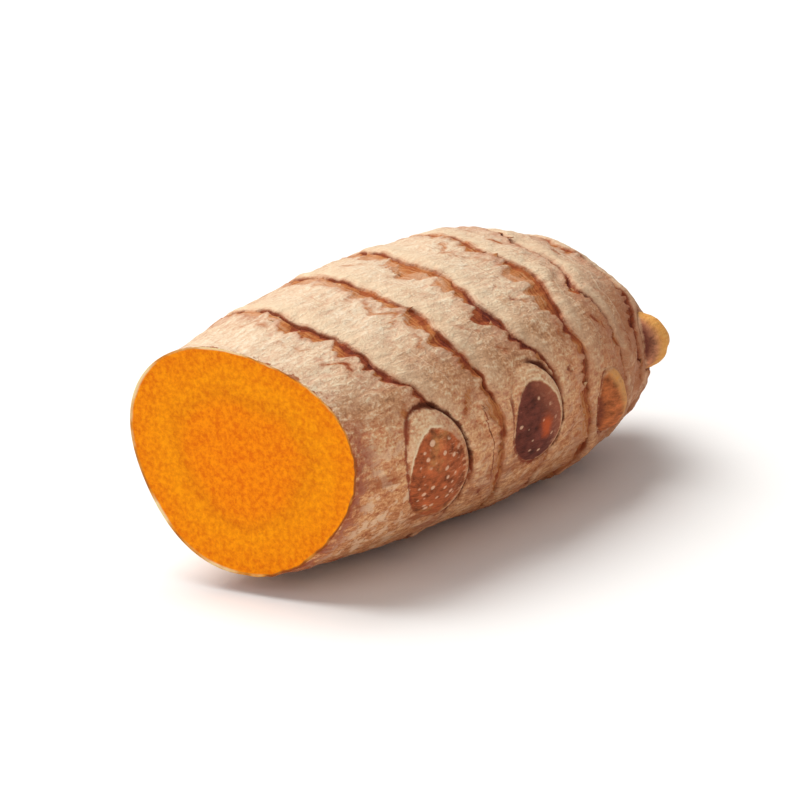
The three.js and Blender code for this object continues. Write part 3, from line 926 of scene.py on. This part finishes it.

# %% [markdown]
# ### Coats between the rings
# Towards the tip the skin is younger, so it is browner. The low side lay in damp soil and is
# stained, with pale blotches where the stained cork has flaked off. By the cut, the knife has torn
# the skin, which has browned and frays. Before each ring the skin is pinker, where a scale kept the
# light off it, and the lip past the ring is rubbed pale, most where it faces up, which is painted
# light.

# %% Browner towards the tip, stained on the low side
towards_tip = add(skin, "ShaderNodeSeparateXYZ", (place,), output="X")
tip_share = add(
    skin,
    "ShaderNodeMath",
    (
        add(skin, "ShaderNodeMapRange", (towards_tip, 0.0, 20 * MM, 0.1, 0.95), **SMOOTH),
        add(skin, "ShaderNodeMapRange", (patches, 0.22, 0.52), **SMOOTH),
    ),
    operation="MULTIPLY",
)
tip_pinker = add(
    skin,
    "ShaderNodeMath",
    (tip_share, add(skin, "ShaderNodeMapRange", (faces_up, 0.45, 0.95, 1.0, 0.3), **SMOOTH)),
    operation="MULTIPLY",
)
skin_base = add(
    skin, "ShaderNodeMix", {0: tip_pinker, 6: skin_with_painted_relief_shade, 7: colour("#AC6C48")}, **COLOURS
)
low_side = add(skin, "ShaderNodeMapRange", (faces_up, -0.5, 0.85, 0.8, 0.0), **SMOOTH)
streaked = add(
    skin,
    "ShaderNodeMath",
    (add(skin, "ShaderNodeMapRange", (streaks, 0.52, 0.68), **SMOOTH), low_side),
    operation="MULTIPLY",
)
near_cut = add(skin, "ShaderNodeMapRange", (from_rim, 5.0, 15.0, 1.0, 0.55), **SMOOTH)
near_cut_low = add(skin, "ShaderNodeMath", (near_cut, low_side), operation="MULTIPLY")
blotched = add(
    skin,
    "ShaderNodeMath",
    (add(skin, "ShaderNodeMapRange", (stains, 0.48, 0.6, 0.0, 0.9), **SMOOTH), near_cut_low),
    operation="MULTIPLY",
)
blotched_skin = add(
    skin, "ShaderNodeMix", {0: blotched, 6: skin_base, 7: colour("#EFCDA8")}, **COLOURS
)
stained_skin = add(
    skin, "ShaderNodeMix", {0: streaked, 6: blotched_skin, 7: colour("#9A4F2E")}, **COLOURS
)
print("Nodes in the skin so far:", len(skin.nodes))

# %% The rim of the cut, where the skin is torn and browned
near_rim = add(skin, "ShaderNodeMapRange", (from_rim, 1.2, 4.2, 1.0, 0.0), **SMOOTH)
rim_patches = add(
    skin,
    "ShaderNodeMath",
    (
        add(skin, "ShaderNodeMapRange", (stains, 0.38, 0.56), **SMOOTH),
        add(skin, "ShaderNodeMapRange", (faces_up, 0.2, 0.85, 0.85, 0.0), **SMOOTH),
    ),
    operation="MULTIPLY",
)
rim_share = add(skin, "ShaderNodeMath", (near_rim, rim_patches), operation="MULTIPLY")
rim_browned = add(
    skin, "ShaderNodeMix", {0: rim_share, 6: stained_skin, 7: colour("#9A4630")}, **COLOURS
)
rim_frayed = add(skin, "ShaderNodeMath", (stains, -3.4, from_rim), operation="MULTIPLY_ADD")
rim_scraps = add(skin, "ShaderNodeMapRange", (rim_frayed, -0.85, -0.5, 0.85, 0.0), **SMOOTH)
with_rim = add(
    skin, "ShaderNodeMix", {0: rim_scraps, 6: rim_browned, 7: colour("#96491F")}, **COLOURS
)
print("Nodes in the skin so far:", len(skin.nodes))

# %% Pinker before a ring, paler on its lip, with painted light on the lip's upper side
only_before = add(skin, "ShaderNodeMath", (past, 0.0), operation="LESS_THAN")
pink_share = add(
    skin,
    "ShaderNodeMath",
    (add(skin, "ShaderNodeMapRange", (past, -3.0, -0.5, 0.0, 0.7), **SMOOTH), only_before),
    operation="MULTIPLY",
)
pink_patchy = add(
    skin,
    "ShaderNodeMath",
    (pink_share, add(skin, "ShaderNodeMapRange", (stains, 0.3, 0.75), **SMOOTH)),
    operation="MULTIPLY",
)
pinker = add(skin, "ShaderNodeMix", {0: pink_patchy, 6: with_rim, 7: colour("#B5755A")}, **COLOURS)
only_after = add(skin, "ShaderNodeMath", (past, 0.0), operation="GREATER_THAN")
lip_pale_and_lit = add(
    skin,
    "ShaderNodeMath",
    (add(skin, "ShaderNodeMapRange", (past, 0.3, 3.4, 0.55, 0.0), **SMOOTH), only_after),
    operation="MULTIPLY",
)
# The pale lip is strongest where it faces up: painted light on the raised lip.
lip_share_lit_on_top = add(
    skin,
    "ShaderNodeMath",
    (lip_pale_and_lit, add(skin, "ShaderNodeMapRange", (faces_up, 0.0, 0.95, 0.15, 1.0), **SMOOTH)),
    operation="MULTIPLY",
)
with_lit_lips = add(skin, "ShaderNodeMix", {0: lip_share_lit_on_top, 6: pinker, 7: colour("#E6CBA8")}, **COLOURS)
print("Nodes in the skin so far:", len(skin.nodes))

# %% [markdown]
# ### Strips and crevices
# The fibres of a bare strip run round the root, so their noise is stretched along the ring: its
# first coordinate is the distance past the ring, and the others are the place in the root. A soft
# brown halo goes before the torn edge, the strip is darkest beside the crevice, partly as painted
# shade under the raised lip, and in its second layer, and how dark it is at all comes from the
# notes on the ring. A crevice is painted darker the deeper it is: partly the ring's own dark line,
# partly painted shade.

# %% Fibres that run round the root, along its rings
sideways = add(skin, "ShaderNodeSeparateXYZ", (place,), output="Y")
upwards = add(skin, "ShaderNodeSeparateXYZ", (place,), output="Z")
along_ring = add(
    skin,
    "ShaderNodeMapping",
    {
        "Vector": add(skin, "ShaderNodeCombineXYZ", (past, sideways, upwards)),
        "Scale": (1 / 0.2, per_metre(2.2), per_metre(2.2)),
    },
)
ring_fibres = add(
    skin,
    "ShaderNodeTexNoise",
    {"Vector": along_ring, "Scale": 1.0, "Detail": 3.0, "Roughness": 0.6, "Distortion": 0.4},
)
print("Nodes in the skin so far:", len(skin.nodes))

# %% Bare strips and their halos
halo_edge = add(skin, "ShaderNodeMath", (stains, 1.2, torn), operation="MULTIPLY_ADD")
halo_fibrous = add(skin, "ShaderNodeMath", (ring_fibres, 1.0, halo_edge), operation="MULTIPLY_ADD")
halo = add(skin, "ShaderNodeMapRange", (halo_fibrous, 0.5, 1.5, 0.0, 0.8), **SMOOTH)
with_halo = add(skin, "ShaderNodeMix", {0: halo, 6: with_lit_lips, 7: colour("#B06C4A")}, **COLOURS)
frayed = add(skin, "ShaderNodeMath", (grain, 0.6, torn), operation="MULTIPLY_ADD")
strip_share = add(skin, "ShaderNodeMapRange", (frayed, 0.12, 0.5), **SMOOTH)
# Darker towards the crevice: partly painted shade under the raised lip beyond it.
towards_crevice_shade = add(skin, "ShaderNodeMapRange", (past, -1.3, -0.1, 0.0, 0.35), **SMOOTH)
noted_dark = add(skin, "ShaderNodeMath", (dark, 1.5), operation="MULTIPLY")
uneven_dark = add(skin, "ShaderNodeMath", (stains, 1.2, noted_dark), operation="MULTIPLY_ADD")
in_layer = add(skin, "ShaderNodeMapRange", (layer, 0.0, 0.12, 0.0, 0.3), **SMOOTH)
layered_dark = add(skin, "ShaderNodeMath", (uneven_dark, in_layer), operation="ADD")
deeper_dark = add(skin, "ShaderNodeMath", (layered_dark, towards_crevice_shade), operation="ADD")
fibrous_dark = add(
    skin, "ShaderNodeMath", (ring_fibres, 1.7, deeper_dark), operation="MULTIPLY_ADD"
)
strip_colour = add(
    skin,
    "ShaderNodeValToRGB",
    {"Fac": add(skin, "ShaderNodeMapRange", (fibrous_dark, 1.5, 3.45))},
    stops=[
        (0.0, "#D3A785"),
        (0.25, "#C48C66"),
        (0.42, "#B8733F"),
        (0.6, "#A0522A"),
        (0.8, "#823821"),
        (1.0, "#5C2419"),
    ],
)
with_strips = add(skin, "ShaderNodeMix", {0: strip_share, 6: with_halo, 7: strip_colour}, **COLOURS)
print("Nodes in the skin so far:", len(skin.nodes))

# %% Crevices, darkened with their depth as partly painted shade, and the scars of rootlets
# A crevice's colour deepens with its depth: partly the ring's own dark line, partly painted shade.
crevice_uneven = add(skin, "ShaderNodeMath", (stains, 0.4, crevice), operation="MULTIPLY_ADD")
crevice_colour_and_shade = add(skin, "ShaderNodeMapRange", (crevice_uneven, 0.35, 0.85, 0.0, 0.9), **SMOOTH)
with_crevice_shade = add(
    skin, "ShaderNodeMix", {0: crevice_colour_and_shade, 6: with_strips, 7: colour("#8A3A1A")}, **COLOURS
)
rootlet_share = add(skin, "ShaderNodeMapRange", (rootlet, 0.5, 1.1, 0.85, 0.0), **SMOOTH)
with_rootlets = add(
    skin, "ShaderNodeMix", {0: rootlet_share, 6: with_crevice_shade, 7: colour("#6E3A22")}, **COLOURS
)
print("Nodes in the skin so far:", len(skin.nodes))

# %% [markdown]
# ### The colours of the buds
# The bare scar of an old bud is red brown to purple brown, mottled, with pale specks of cork and
# crumbs at its tip's side; the purple brown one is lighter towards the tip, partly as painted light.
# A young bud is ochre to gold, with fine fibres and a dark foot: its gold side is partly a painted
# highlight, and its dark foot partly painted shade. The hood round a scar is skin again, ending in
# a pale line, the lid, and on one side both carry a painted highlight. Last comes the groove: thin
# and brown on the cut's side, darker on the tip's side, where the dark is partly painted shade, and
# gone where it is filled.

# %% The scars' own colours
scar_colour = add(
    skin,
    "ShaderNodeValToRGB",
    {"Fac": tone},
    stops=[
        (0.0, "#AE5A33"), (0.35, "#683429"), (0.5, "#B06838"), (0.7, "#B4602E"), (1.0, "#B87858")
    ],
)
scar_cloud = add(
    skin,
    "ShaderNodeValToRGB",
    {"Fac": add(skin, "ShaderNodeMath", (fibres, 0.5, stains), operation="MULTIPLY_ADD")},
    stops=[(0.55, "#747474"), (0.75, "#BCBCBC"), (0.98, "#EAEAEA")],
)
zones_here = add(
    skin,
    "ShaderNodeMath",
    (
        add(skin, "ShaderNodeMapRange", (patches, 0.5, 0.68, 0.0, 0.55), **SMOOTH),
        add(skin, "ShaderNodeMapRange", (tone, 0.2, 0.3, 1.0, 0.0), **SMOOTH),
    ),
    operation="MULTIPLY",
)
scar_zones = add(
    skin, "ShaderNodeMix", {0: zones_here, 6: scar_colour, 7: colour("#B98650")}, **COLOURS
)
scar_mottled = add(
    skin, "ShaderNodeMix", {0: 0.85, 6: scar_zones, 7: scar_cloud}, blend_type="OVERLAY", **COLOURS
)
print("Nodes in the skin so far:", len(skin.nodes))

# %% Pale specks and crumbs of cork on the scars
speck_cells = add(
    skin, "ShaderNodeTexVoronoi", {"Vector": place, "Scale": per_metre(0.9), "Randomness": 1.0}
)
speck_rare = add(skin, "ShaderNodeMath", (tone, 0.3, speck_cells), operation="MULTIPLY_ADD")
speck_uneven = add(skin, "ShaderNodeMath", (patches, -0.9, speck_rare), operation="MULTIPLY_ADD")
speck_allowed = add(
    skin,
    "ShaderNodeMath",
    (
        add(skin, "ShaderNodeMapRange", (tone, 0.4, 0.45, 0.9, 0.0), **SMOOTH),
        add(skin, "ShaderNodeMapRange", (scar_edge, 0.8, 0.9, 1.0, 0.0), **SMOOTH),
    ),
    operation="MULTIPLY",
)
specks_here = add(
    skin,
    "ShaderNodeMath",
    (
        add(skin, "ShaderNodeMapRange", (speck_uneven, -0.29, -0.14, 1.0, 0.0), **SMOOTH),
        speck_allowed,
    ),
    operation="MULTIPLY",
)
crumbs = add(
    skin,
    "ShaderNodeMath",
    (
        add(skin, "ShaderNodeMapRange", (fibres, 0.54, 0.66, 0.0, 0.8), **SMOOTH),
        add(skin, "ShaderNodeMapRange", (tip_side, 0.0, 0.75), **SMOOTH),
    ),
    operation="MULTIPLY",
)
crumbs_here = add(
    skin,
    "ShaderNodeMath",
    (crumbs, add(skin, "ShaderNodeMapRange", (tone, 0.4, 0.45, 1.0, 0.0), **SMOOTH)),
    operation="MULTIPLY",
)
with_crumbs = add(
    skin, "ShaderNodeMix", {0: crumbs_here, 6: scar_mottled, 7: colour("#DDAA84")}, **COLOURS
)
with_specks = add(
    skin, "ShaderNodeMix", {0: specks_here, 6: with_crumbs, 7: colour("#E6B896")}, **COLOURS
)
print("Nodes in the skin so far:", len(skin.nodes))

# %% The golden side of a young bud, partly a painted highlight
# Which side is golden, partly as a painted highlight, is measured towards the tip and a little
# upwards.
gold_corner = add(skin, "ShaderNodeMath", (up_side, 0.2, tip_side), operation="MULTIPLY_ADD")
gold_side = add(skin, "ShaderNodeMath", (tone, 2.4, gold_corner), operation="MULTIPLY_ADD")
# The gold is partly the bud's own colour and partly a painted highlight.
gold_and_highlight_share = add(
    skin,
    "ShaderNodeMath",
    (
        add(skin, "ShaderNodeMapRange", (gold_side, 1.7, 2.15, 0.0, 0.95), **SMOOTH),
        add(skin, "ShaderNodeMapRange", (tone, 0.4, 0.75), **SMOOTH),
    ),
    operation="MULTIPLY",
)
print("Nodes in the skin so far:", len(skin.nodes))

# %% An orange spot and a side painted lighter, partly as light on it, only on the bud with the purple brown scar
spot_distance = add(
    skin, "ShaderNodeVectorMath", (on_scar, (0.22, -0.1, 0.0)), output="Value", operation="DISTANCE"
)
spot_uneven = add(skin, "ShaderNodeMath", (stains, 0.5, spot_distance), operation="MULTIPLY_ADD")
spot_tones = add(skin, "ShaderNodeMath", (tone, 0.35, 0.03), operation="COMPARE")
spot_share = add(
    skin,
    "ShaderNodeMath",
    (add(skin, "ShaderNodeMapRange", (spot_uneven, 0.3, 0.62, 0.95, 0.0), **SMOOTH), spot_tones),
    operation="MULTIPLY",
)
# Lighter towards the tip and up: partly painted light, with the darker cut's side as painted shade.
lighter_and_lit_side = add(
    skin,
    "ShaderNodeMath",
    (add(skin, "ShaderNodeMapRange", (gold_corner, -0.2, 0.7, 0.0, 0.85), **SMOOTH), spot_tones),
    operation="MULTIPLY",
)
scar_with_lit_side = add(
    skin, "ShaderNodeMix", {0: lighter_and_lit_side, 6: with_specks, 7: colour("#A85E42")}, **COLOURS
)
with_spot = add(
    skin, "ShaderNodeMix", {0: spot_share, 6: scar_with_lit_side, 7: colour("#C2562A")}, **COLOURS
)
print("Nodes in the skin so far:", len(skin.nodes))

# %% Gold partly as a painted highlight, a dark foot partly as painted shade, and the finished scar
gold_fibres = add(skin, "ShaderNodeMath", (fibres, 0.6, tone), operation="MULTIPLY_ADD")
gold = add(
    skin,
    "ShaderNodeValToRGB",
    {"Fac": add(skin, "ShaderNodeMapRange", (gold_fibres, 0.8, 1.4))},
    stops=[(0.0, "#B66C38"), (0.35, "#DA9C60"), (0.7, "#E29A4C"), (1.0, "#EDB060")],
)
with_gold_and_highlight = add(skin, "ShaderNodeMix", {0: gold_and_highlight_share, 6: with_spot, 7: gold}, **COLOURS)
# The dark foot on the cut's side of a young bud is partly painted shade.
dark_foot_and_shade_share = add(
    skin,
    "ShaderNodeMath",
    (add(skin, "ShaderNodeMapRange", (tip_side, -0.92, -0.6, 0.95, 0.0), **SMOOTH), tone),
    operation="MULTIPLY",
)
scar_finished = add(
    skin, "ShaderNodeMix", {0: dark_foot_and_shade_share, 6: with_gold_and_highlight, 7: colour("#6C3226")}, **COLOURS
)
scar_uneven = add(skin, "ShaderNodeMath", (stains, 0.16, scar_edge), operation="MULTIPLY_ADD")
scar_share = add(skin, "ShaderNodeMapRange", (scar_uneven, 1.02, 1.09, 1.0, 0.0), **SMOOTH)
with_scars = add(
    skin, "ShaderNodeMix", {0: scar_share, 6: with_rootlets, 7: scar_finished}, **COLOURS
)
print("Nodes in the skin so far:", len(skin.nodes))

# %% Hoods, and the pale lids that edge them, with a painted highlight on one side
lid_rise = add(skin, "ShaderNodeMapRange", (scar_uneven, 1.06, 1.09), **SMOOTH)
lid_fall = add(skin, "ShaderNodeMapRange", (scar_uneven, 1.09, 1.15, 0.9, 0.0), **SMOOTH)
in_oval = add(skin, "ShaderNodeMapRange", (oval, 0.93, 1.0, 0.95, 0.0), **SMOOTH)
lid_here = add(skin, "ShaderNodeMath", (lid_rise, lid_fall), operation="MULTIPLY")
lid_inside = add(skin, "ShaderNodeMath", (lid_here, in_oval), operation="MULTIPLY")
# The pale lid line and the pale hood lie on one given side of each bud: partly the skin's pale edge,
# partly a painted highlight.
lid_highlight_share = add(
    skin,
    "ShaderNodeMath",
    (lid_inside, add(skin, "ShaderNodeMapRange", (lid_highlight_side, 0.5, 0.85), **SMOOTH)),
    operation="MULTIPLY",
)
hood_inside = add(
    skin,
    "ShaderNodeMath",
    (in_oval, add(skin, "ShaderNodeMapRange", (scar_uneven, 1.04, 1.1, 0.0, 0.75), **SMOOTH)),
    operation="MULTIPLY",
)
hood_fibrous = add(
    skin,
    "ShaderNodeMath",
    (hood_inside, add(skin, "ShaderNodeMapRange", (mixed, 0.7, 1.05, 0.25, 0.85), **SMOOTH)),
    operation="MULTIPLY",
)
hood_pale_and_lit_share = add(skin, "ShaderNodeMath", (hood_fibrous, lid_highlight_side), operation="MULTIPLY")
with_lit_hoods = add(
    skin, "ShaderNodeMix", {0: hood_pale_and_lit_share, 6: with_scars, 7: colour("#E4C7A0")}, **COLOURS
)
with_lid_highlights = add(
    skin, "ShaderNodeMix", {0: lid_highlight_share, 6: with_lit_hoods, 7: colour("#F2D8B2")}, **COLOURS
)
print("Nodes in the skin so far:", len(skin.nodes))

# %% Grooves round the buds, their dark partly painted shade
moat_distance = add(skin, "ShaderNodeMath", (oval, 1.03), operation="SUBTRACT")
moat_far = add(skin, "ShaderNodeMath", (moat_distance,), operation="ABSOLUTE")
moat_wider = add(skin, "ShaderNodeMapRange", (tip_side, -0.6, 0.8, 0.0, -0.025), **SMOOTH)
moat_reach = add(skin, "ShaderNodeMath", (moat_far, moat_wider), operation="ADD")
moat_uneven = add(skin, "ShaderNodeMath", (stains, 0.22, moat_reach), operation="MULTIPLY_ADD")
# The groove's line is stronger and darker towards the tip's side, where it is deeper: partly its own
# brown, partly painted shade.
moat_side = add(skin, "ShaderNodeMapRange", (tip_side, -1.0, 0.4, 0.88, 0.97), **SMOOTH)
moat_line = add(skin, "ShaderNodeMapRange", (moat_uneven, 0.11, 0.18, 1.0, 0.0), **SMOOTH)
groove_brown_and_shade = add(
    skin,
    "ShaderNodeMix",
    {
        0: add(skin, "ShaderNodeMapRange", (tip_side, -0.6, 0.5), **SMOOTH),
        6: colour("#8A3A22"),
        7: colour("#5E2A16"),
    },
    **COLOURS,
)
moat_strong = add(skin, "ShaderNodeMath", (moat_line, moat_side), operation="MULTIPLY")
groove_line_and_shade_share = add(skin, "ShaderNodeMath", (moat_strong, groove), operation="MULTIPLY")
finished_skin = add(skin, "ShaderNodeMix", {0: groove_line_and_shade_share, 6: with_lid_highlights, 7: groove_brown_and_shade}, **COLOURS)
print("Nodes in the skin so far:", len(skin.nodes))

# %% Bump and shader of the skin
fine = add(skin, "ShaderNodeMath", (grain, 0.7, fibres), operation="MULTIPLY_ADD")
bump = add(skin, "ShaderNodeBump", {"Strength": 0.8, "Distance": 0.16 * MM, "Height": fine})
skin_shader = add(
    skin,
    "ShaderNodeBsdfPrincipled",
    {"Base Color": finished_skin, "Roughness": 0.8, "Specular IOR Level": 0.15, "Normal": bump},
)
add(skin, "ShaderNodeOutputMaterial", {"Surface": skin_shader})
print("Nodes in the skin:", len(skin.nodes))

# %% [markdown]
# ## Material: the fresh cut flesh
# The flesh is dense and moist, bright orange from its dye, a little redder in the core. It is full
# of fine grains and fibre ends, which a knife leaves as a slightly rough, softly shining face. Some
# light goes into it, so it has a touch of subsurface scattering.

# %% Flesh of the cut face
flesh_material, flesh = new_material("cut turmeric flesh")
place = add(flesh, "ShaderNodeTexCoord", (), output="Object")
reach = add(flesh, "ShaderNodeAttribute", (), output="Fac", attribute_name="from_cut")
cells, clouds = (
    add(
        flesh,
        "ShaderNodeTexNoise",
        {"Vector": place, "Scale": per_metre(size), "Detail": 3.0, "Roughness": roughness},
    )
    for size, roughness in ((0.42, 0.7), (3.5, 0.5))
)
clouded = add(flesh, "ShaderNodeMath", (clouds, 0.25, reach), operation="MULTIPLY_ADD")
zones = add(
    flesh,
    "ShaderNodeValToRGB",
    {"Fac": add(flesh, "ShaderNodeMath", (clouded, 0.125), operation="SUBTRACT")},
    stops=[
        (0.0, "#EF7400"), (0.45, "#EC7A00"), (0.58, "#DB7C00"), (0.7, "#F09200"), (0.92, "#E87E00")
    ],
)
cell_share = add(flesh, "ShaderNodeMapRange", (cells, 0.36, 0.64))
grained = add(
    flesh, "ShaderNodeMix", {0: cell_share, 6: colour("#CC5A00"), 7: colour("#FFA204")}, **COLOURS
)
flesh_tone = add(flesh, "ShaderNodeMix", {0: 0.5, 6: zones, 7: grained}, **COLOURS)
print("Nodes in the flesh so far:", len(flesh.nodes))

# %% The thin rind at its edge, pale on top at the back, brown in front, orange below: partly its own colour, partly painted light and a painted shadow line
rind_edge = add(flesh, "ShaderNodeMath", (clouds, 0.03, reach), operation="MULTIPLY_ADD")
# Darker in front and lower down, paler at the back on top: partly the rind's own colour, partly a
# painted shadow line along the front of the rim and painted light at the back.
to_the_back = add(flesh, "ShaderNodeSeparateXYZ", (place,), output="Y")
rind_side = add(flesh, "ShaderNodeMapRange", (to_the_back, -9 * MM, 8 * MM, -0.12, 0.08), **SMOOTH)
to_the_top = add(flesh, "ShaderNodeSeparateXYZ", (place,), output="Z")
rind_low = add(flesh, "ShaderNodeMapRange", (to_the_top, 11 * MM, 18 * MM, -0.08, 0.02), **SMOOTH)
rind_light_by_place = add(flesh, "ShaderNodeMath", (rind_side, rind_low), operation="ADD")
rind_colour_and_painted_light = add(
    flesh,
    "ShaderNodeValToRGB",
    {"Fac": add(flesh, "ShaderNodeMath", (clouds, rind_light_by_place), operation="ADD")},
    stops=[(0.34, "#8A4A1E"), (0.46, "#CC8836"), (0.6, "#E8CC98")],
)
flesh_colour = add(
    flesh,
    "ShaderNodeMix",
    {
        0: add(flesh, "ShaderNodeMapRange", (rind_edge, 0.988, 1.004), **SMOOTH),
        6: flesh_tone,
        7: rind_colour_and_painted_light,
    },
    **COLOURS,
)
flesh_bump = add(flesh, "ShaderNodeBump", {"Strength": 0.6, "Distance": 0.1 * MM, "Height": cells})
flesh_shader = add(
    flesh,
    "ShaderNodeBsdfPrincipled",
    {
        "Base Color": flesh_colour,
        "Roughness": 0.5,
        "Specular IOR Level": 0.07,
        "Subsurface Weight": 0.1,
        "Subsurface Radius": (1.0, 0.3, 0.02),
        "Subsurface Scale": 0.8 * MM,
        "Normal": flesh_bump,
    },
)
add(flesh, "ShaderNodeOutputMaterial", {"Surface": flesh_shader})
print("Nodes in the flesh:", len(flesh.nodes))

# %% [markdown]
# ## Dress the root
# One mesh can carry two materials, and each face says which one it wears. The faces of the cut are
# those with a point inside its rim.

# %% Give the cut its flesh and the rest its skin
ON_RIM = 0.9999  # from_cut is 1 on the rim and less inside it
root.data.materials.append(skin_material)
root.data.materials.append(flesh_material)
on_cut = np.empty(len(root.data.vertices))
root.data.attributes["from_cut"].data.foreach_get("value", on_cut)
for polygon in root.data.polygons:
    polygon.use_smooth = True
    if min(on_cut[index] for index in polygon.vertices) < ON_RIM:
        polygon.material_index = 1
bpy.ops.object.shade_smooth_by_angle(angle=math.radians(60))
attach(root, "root")
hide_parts("turmeric_root")
print("Faces of flesh:", sum(polygon.material_index for polygon in root.data.polygons))

# %% [markdown]
# ## Material: the scraps of scale
# What is left of a scale is thin, fibrous and brown, paler where it is thinnest, with no shine.

# %% Dry scale
scale_material, scale = new_material("dry scale scraps")
place = add(scale, "ShaderNodeTexCoord", (), output="Object")
ages = add(scale, "ShaderNodeTexNoise", {"Vector": place, "Scale": per_metre(1.6), "Detail": 3.0})
scale_colour = add(
    scale,
    "ShaderNodeValToRGB",
    {"Fac": ages},
    stops=[(0.3, "#7C3B20"), (0.5, "#A8683C"), (0.7, "#CFA57C")],
)
scale_shader = add(
    scale,
    "ShaderNodeBsdfPrincipled",
    {"Base Color": scale_colour, "Roughness": 0.85, "Specular IOR Level": 0.15},
)
add(scale, "ShaderNodeOutputMaterial", {"Surface": scale_shader})
scraps.data.materials.append(scale_material)
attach(scraps, "root")
print("Faces of the scraps:", len(scraps.data.polygons))

# %% [markdown]
# ## Floor, light and camera
# The floor is plain and pale, so the colours read true. One large soft light hangs above and behind,
# which makes the top of the root bright and lets its near side fall into soft shade, and a weaker
# one fills the cut face from the camera's left. The camera looks along the photograph's line of
# sight from about half a metre away, through a long lens.

# %% Floor
for piece in bpy.context.selected_objects:
    piece.select_set(False)
bpy.ops.mesh.primitive_plane_add(size=3.0, location=(0, 0, 0))
floor = bpy.context.object
floor.name = "floor"
floor_material, floor_tree = new_material("pale matt board")
floor_shader = add(
    floor_tree, "ShaderNodeBsdfPrincipled", {"Base Color": colour("#F4F2EF"), "Roughness": 0.9}
)
add(floor_tree, "ShaderNodeOutputMaterial", {"Surface": floor_shader})
floor.data.materials.append(floor_material)
print("Floor:", round(floor.dimensions.x, 1), "m wide")

# %% Lights
centre = Vector([(a + b) / 2 for a, b in zip(*cad_box)])


def soft_light(name, place, size, power):
    """A square area light that looks at the root."""
    bpy.ops.object.light_add(type="AREA", location=place)
    light = bpy.context.object
    light.name = name
    light.data.size = size
    light.data.energy = power
    light.rotation_euler = (centre - Vector(place)).to_track_quat("-Z", "Y").to_euler()


soft_light("key light", (-0.10, 0.25, 0.60), 0.5, 4.6)
soft_light("fill light", (-0.60, -0.15, 0.30), 0.5, 1.1)
world = bpy.data.worlds.new("pale studio")
world.use_nodes = True
world.node_tree.nodes["Background"].inputs["Color"].default_value = colour("#FFFFFF")
world.node_tree.nodes["Background"].inputs["Strength"].default_value = 0.38
bpy.context.scene.world = world
bpy.context.scene.view_settings.view_transform = "Standard"
print("Lights:", len(bpy.data.lights))

# %% Camera
AZIMUTH = math.radians(-51.2)
ELEVATION = math.radians(18.8)
CAMERA_DISTANCE = 0.48
LENS = 255
looks_from = Vector((2.5, -0.6, 12.2)) * MM  # the middle of the line of sight in the photograph
looks_at = Vector((-1.7, 2.1, 9.9)) * MM  # brings the root to the middle of the picture
towards_camera = Vector(
    (
        math.sin(AZIMUTH) * math.cos(ELEVATION),
        -math.cos(AZIMUTH) * math.cos(ELEVATION),
        math.sin(ELEVATION),
    )
)
bpy.ops.object.camera_add(location=looks_from + towards_camera * CAMERA_DISTANCE)
camera = bpy.context.object
camera.rotation_euler = (looks_at - camera.location).to_track_quat("-Z", "Y").to_euler()
camera.data.lens = LENS
bpy.context.scene.camera = camera
print("Camera:", CAMERA_DISTANCE, "m from the root, with a lens of", LENS, "mm")
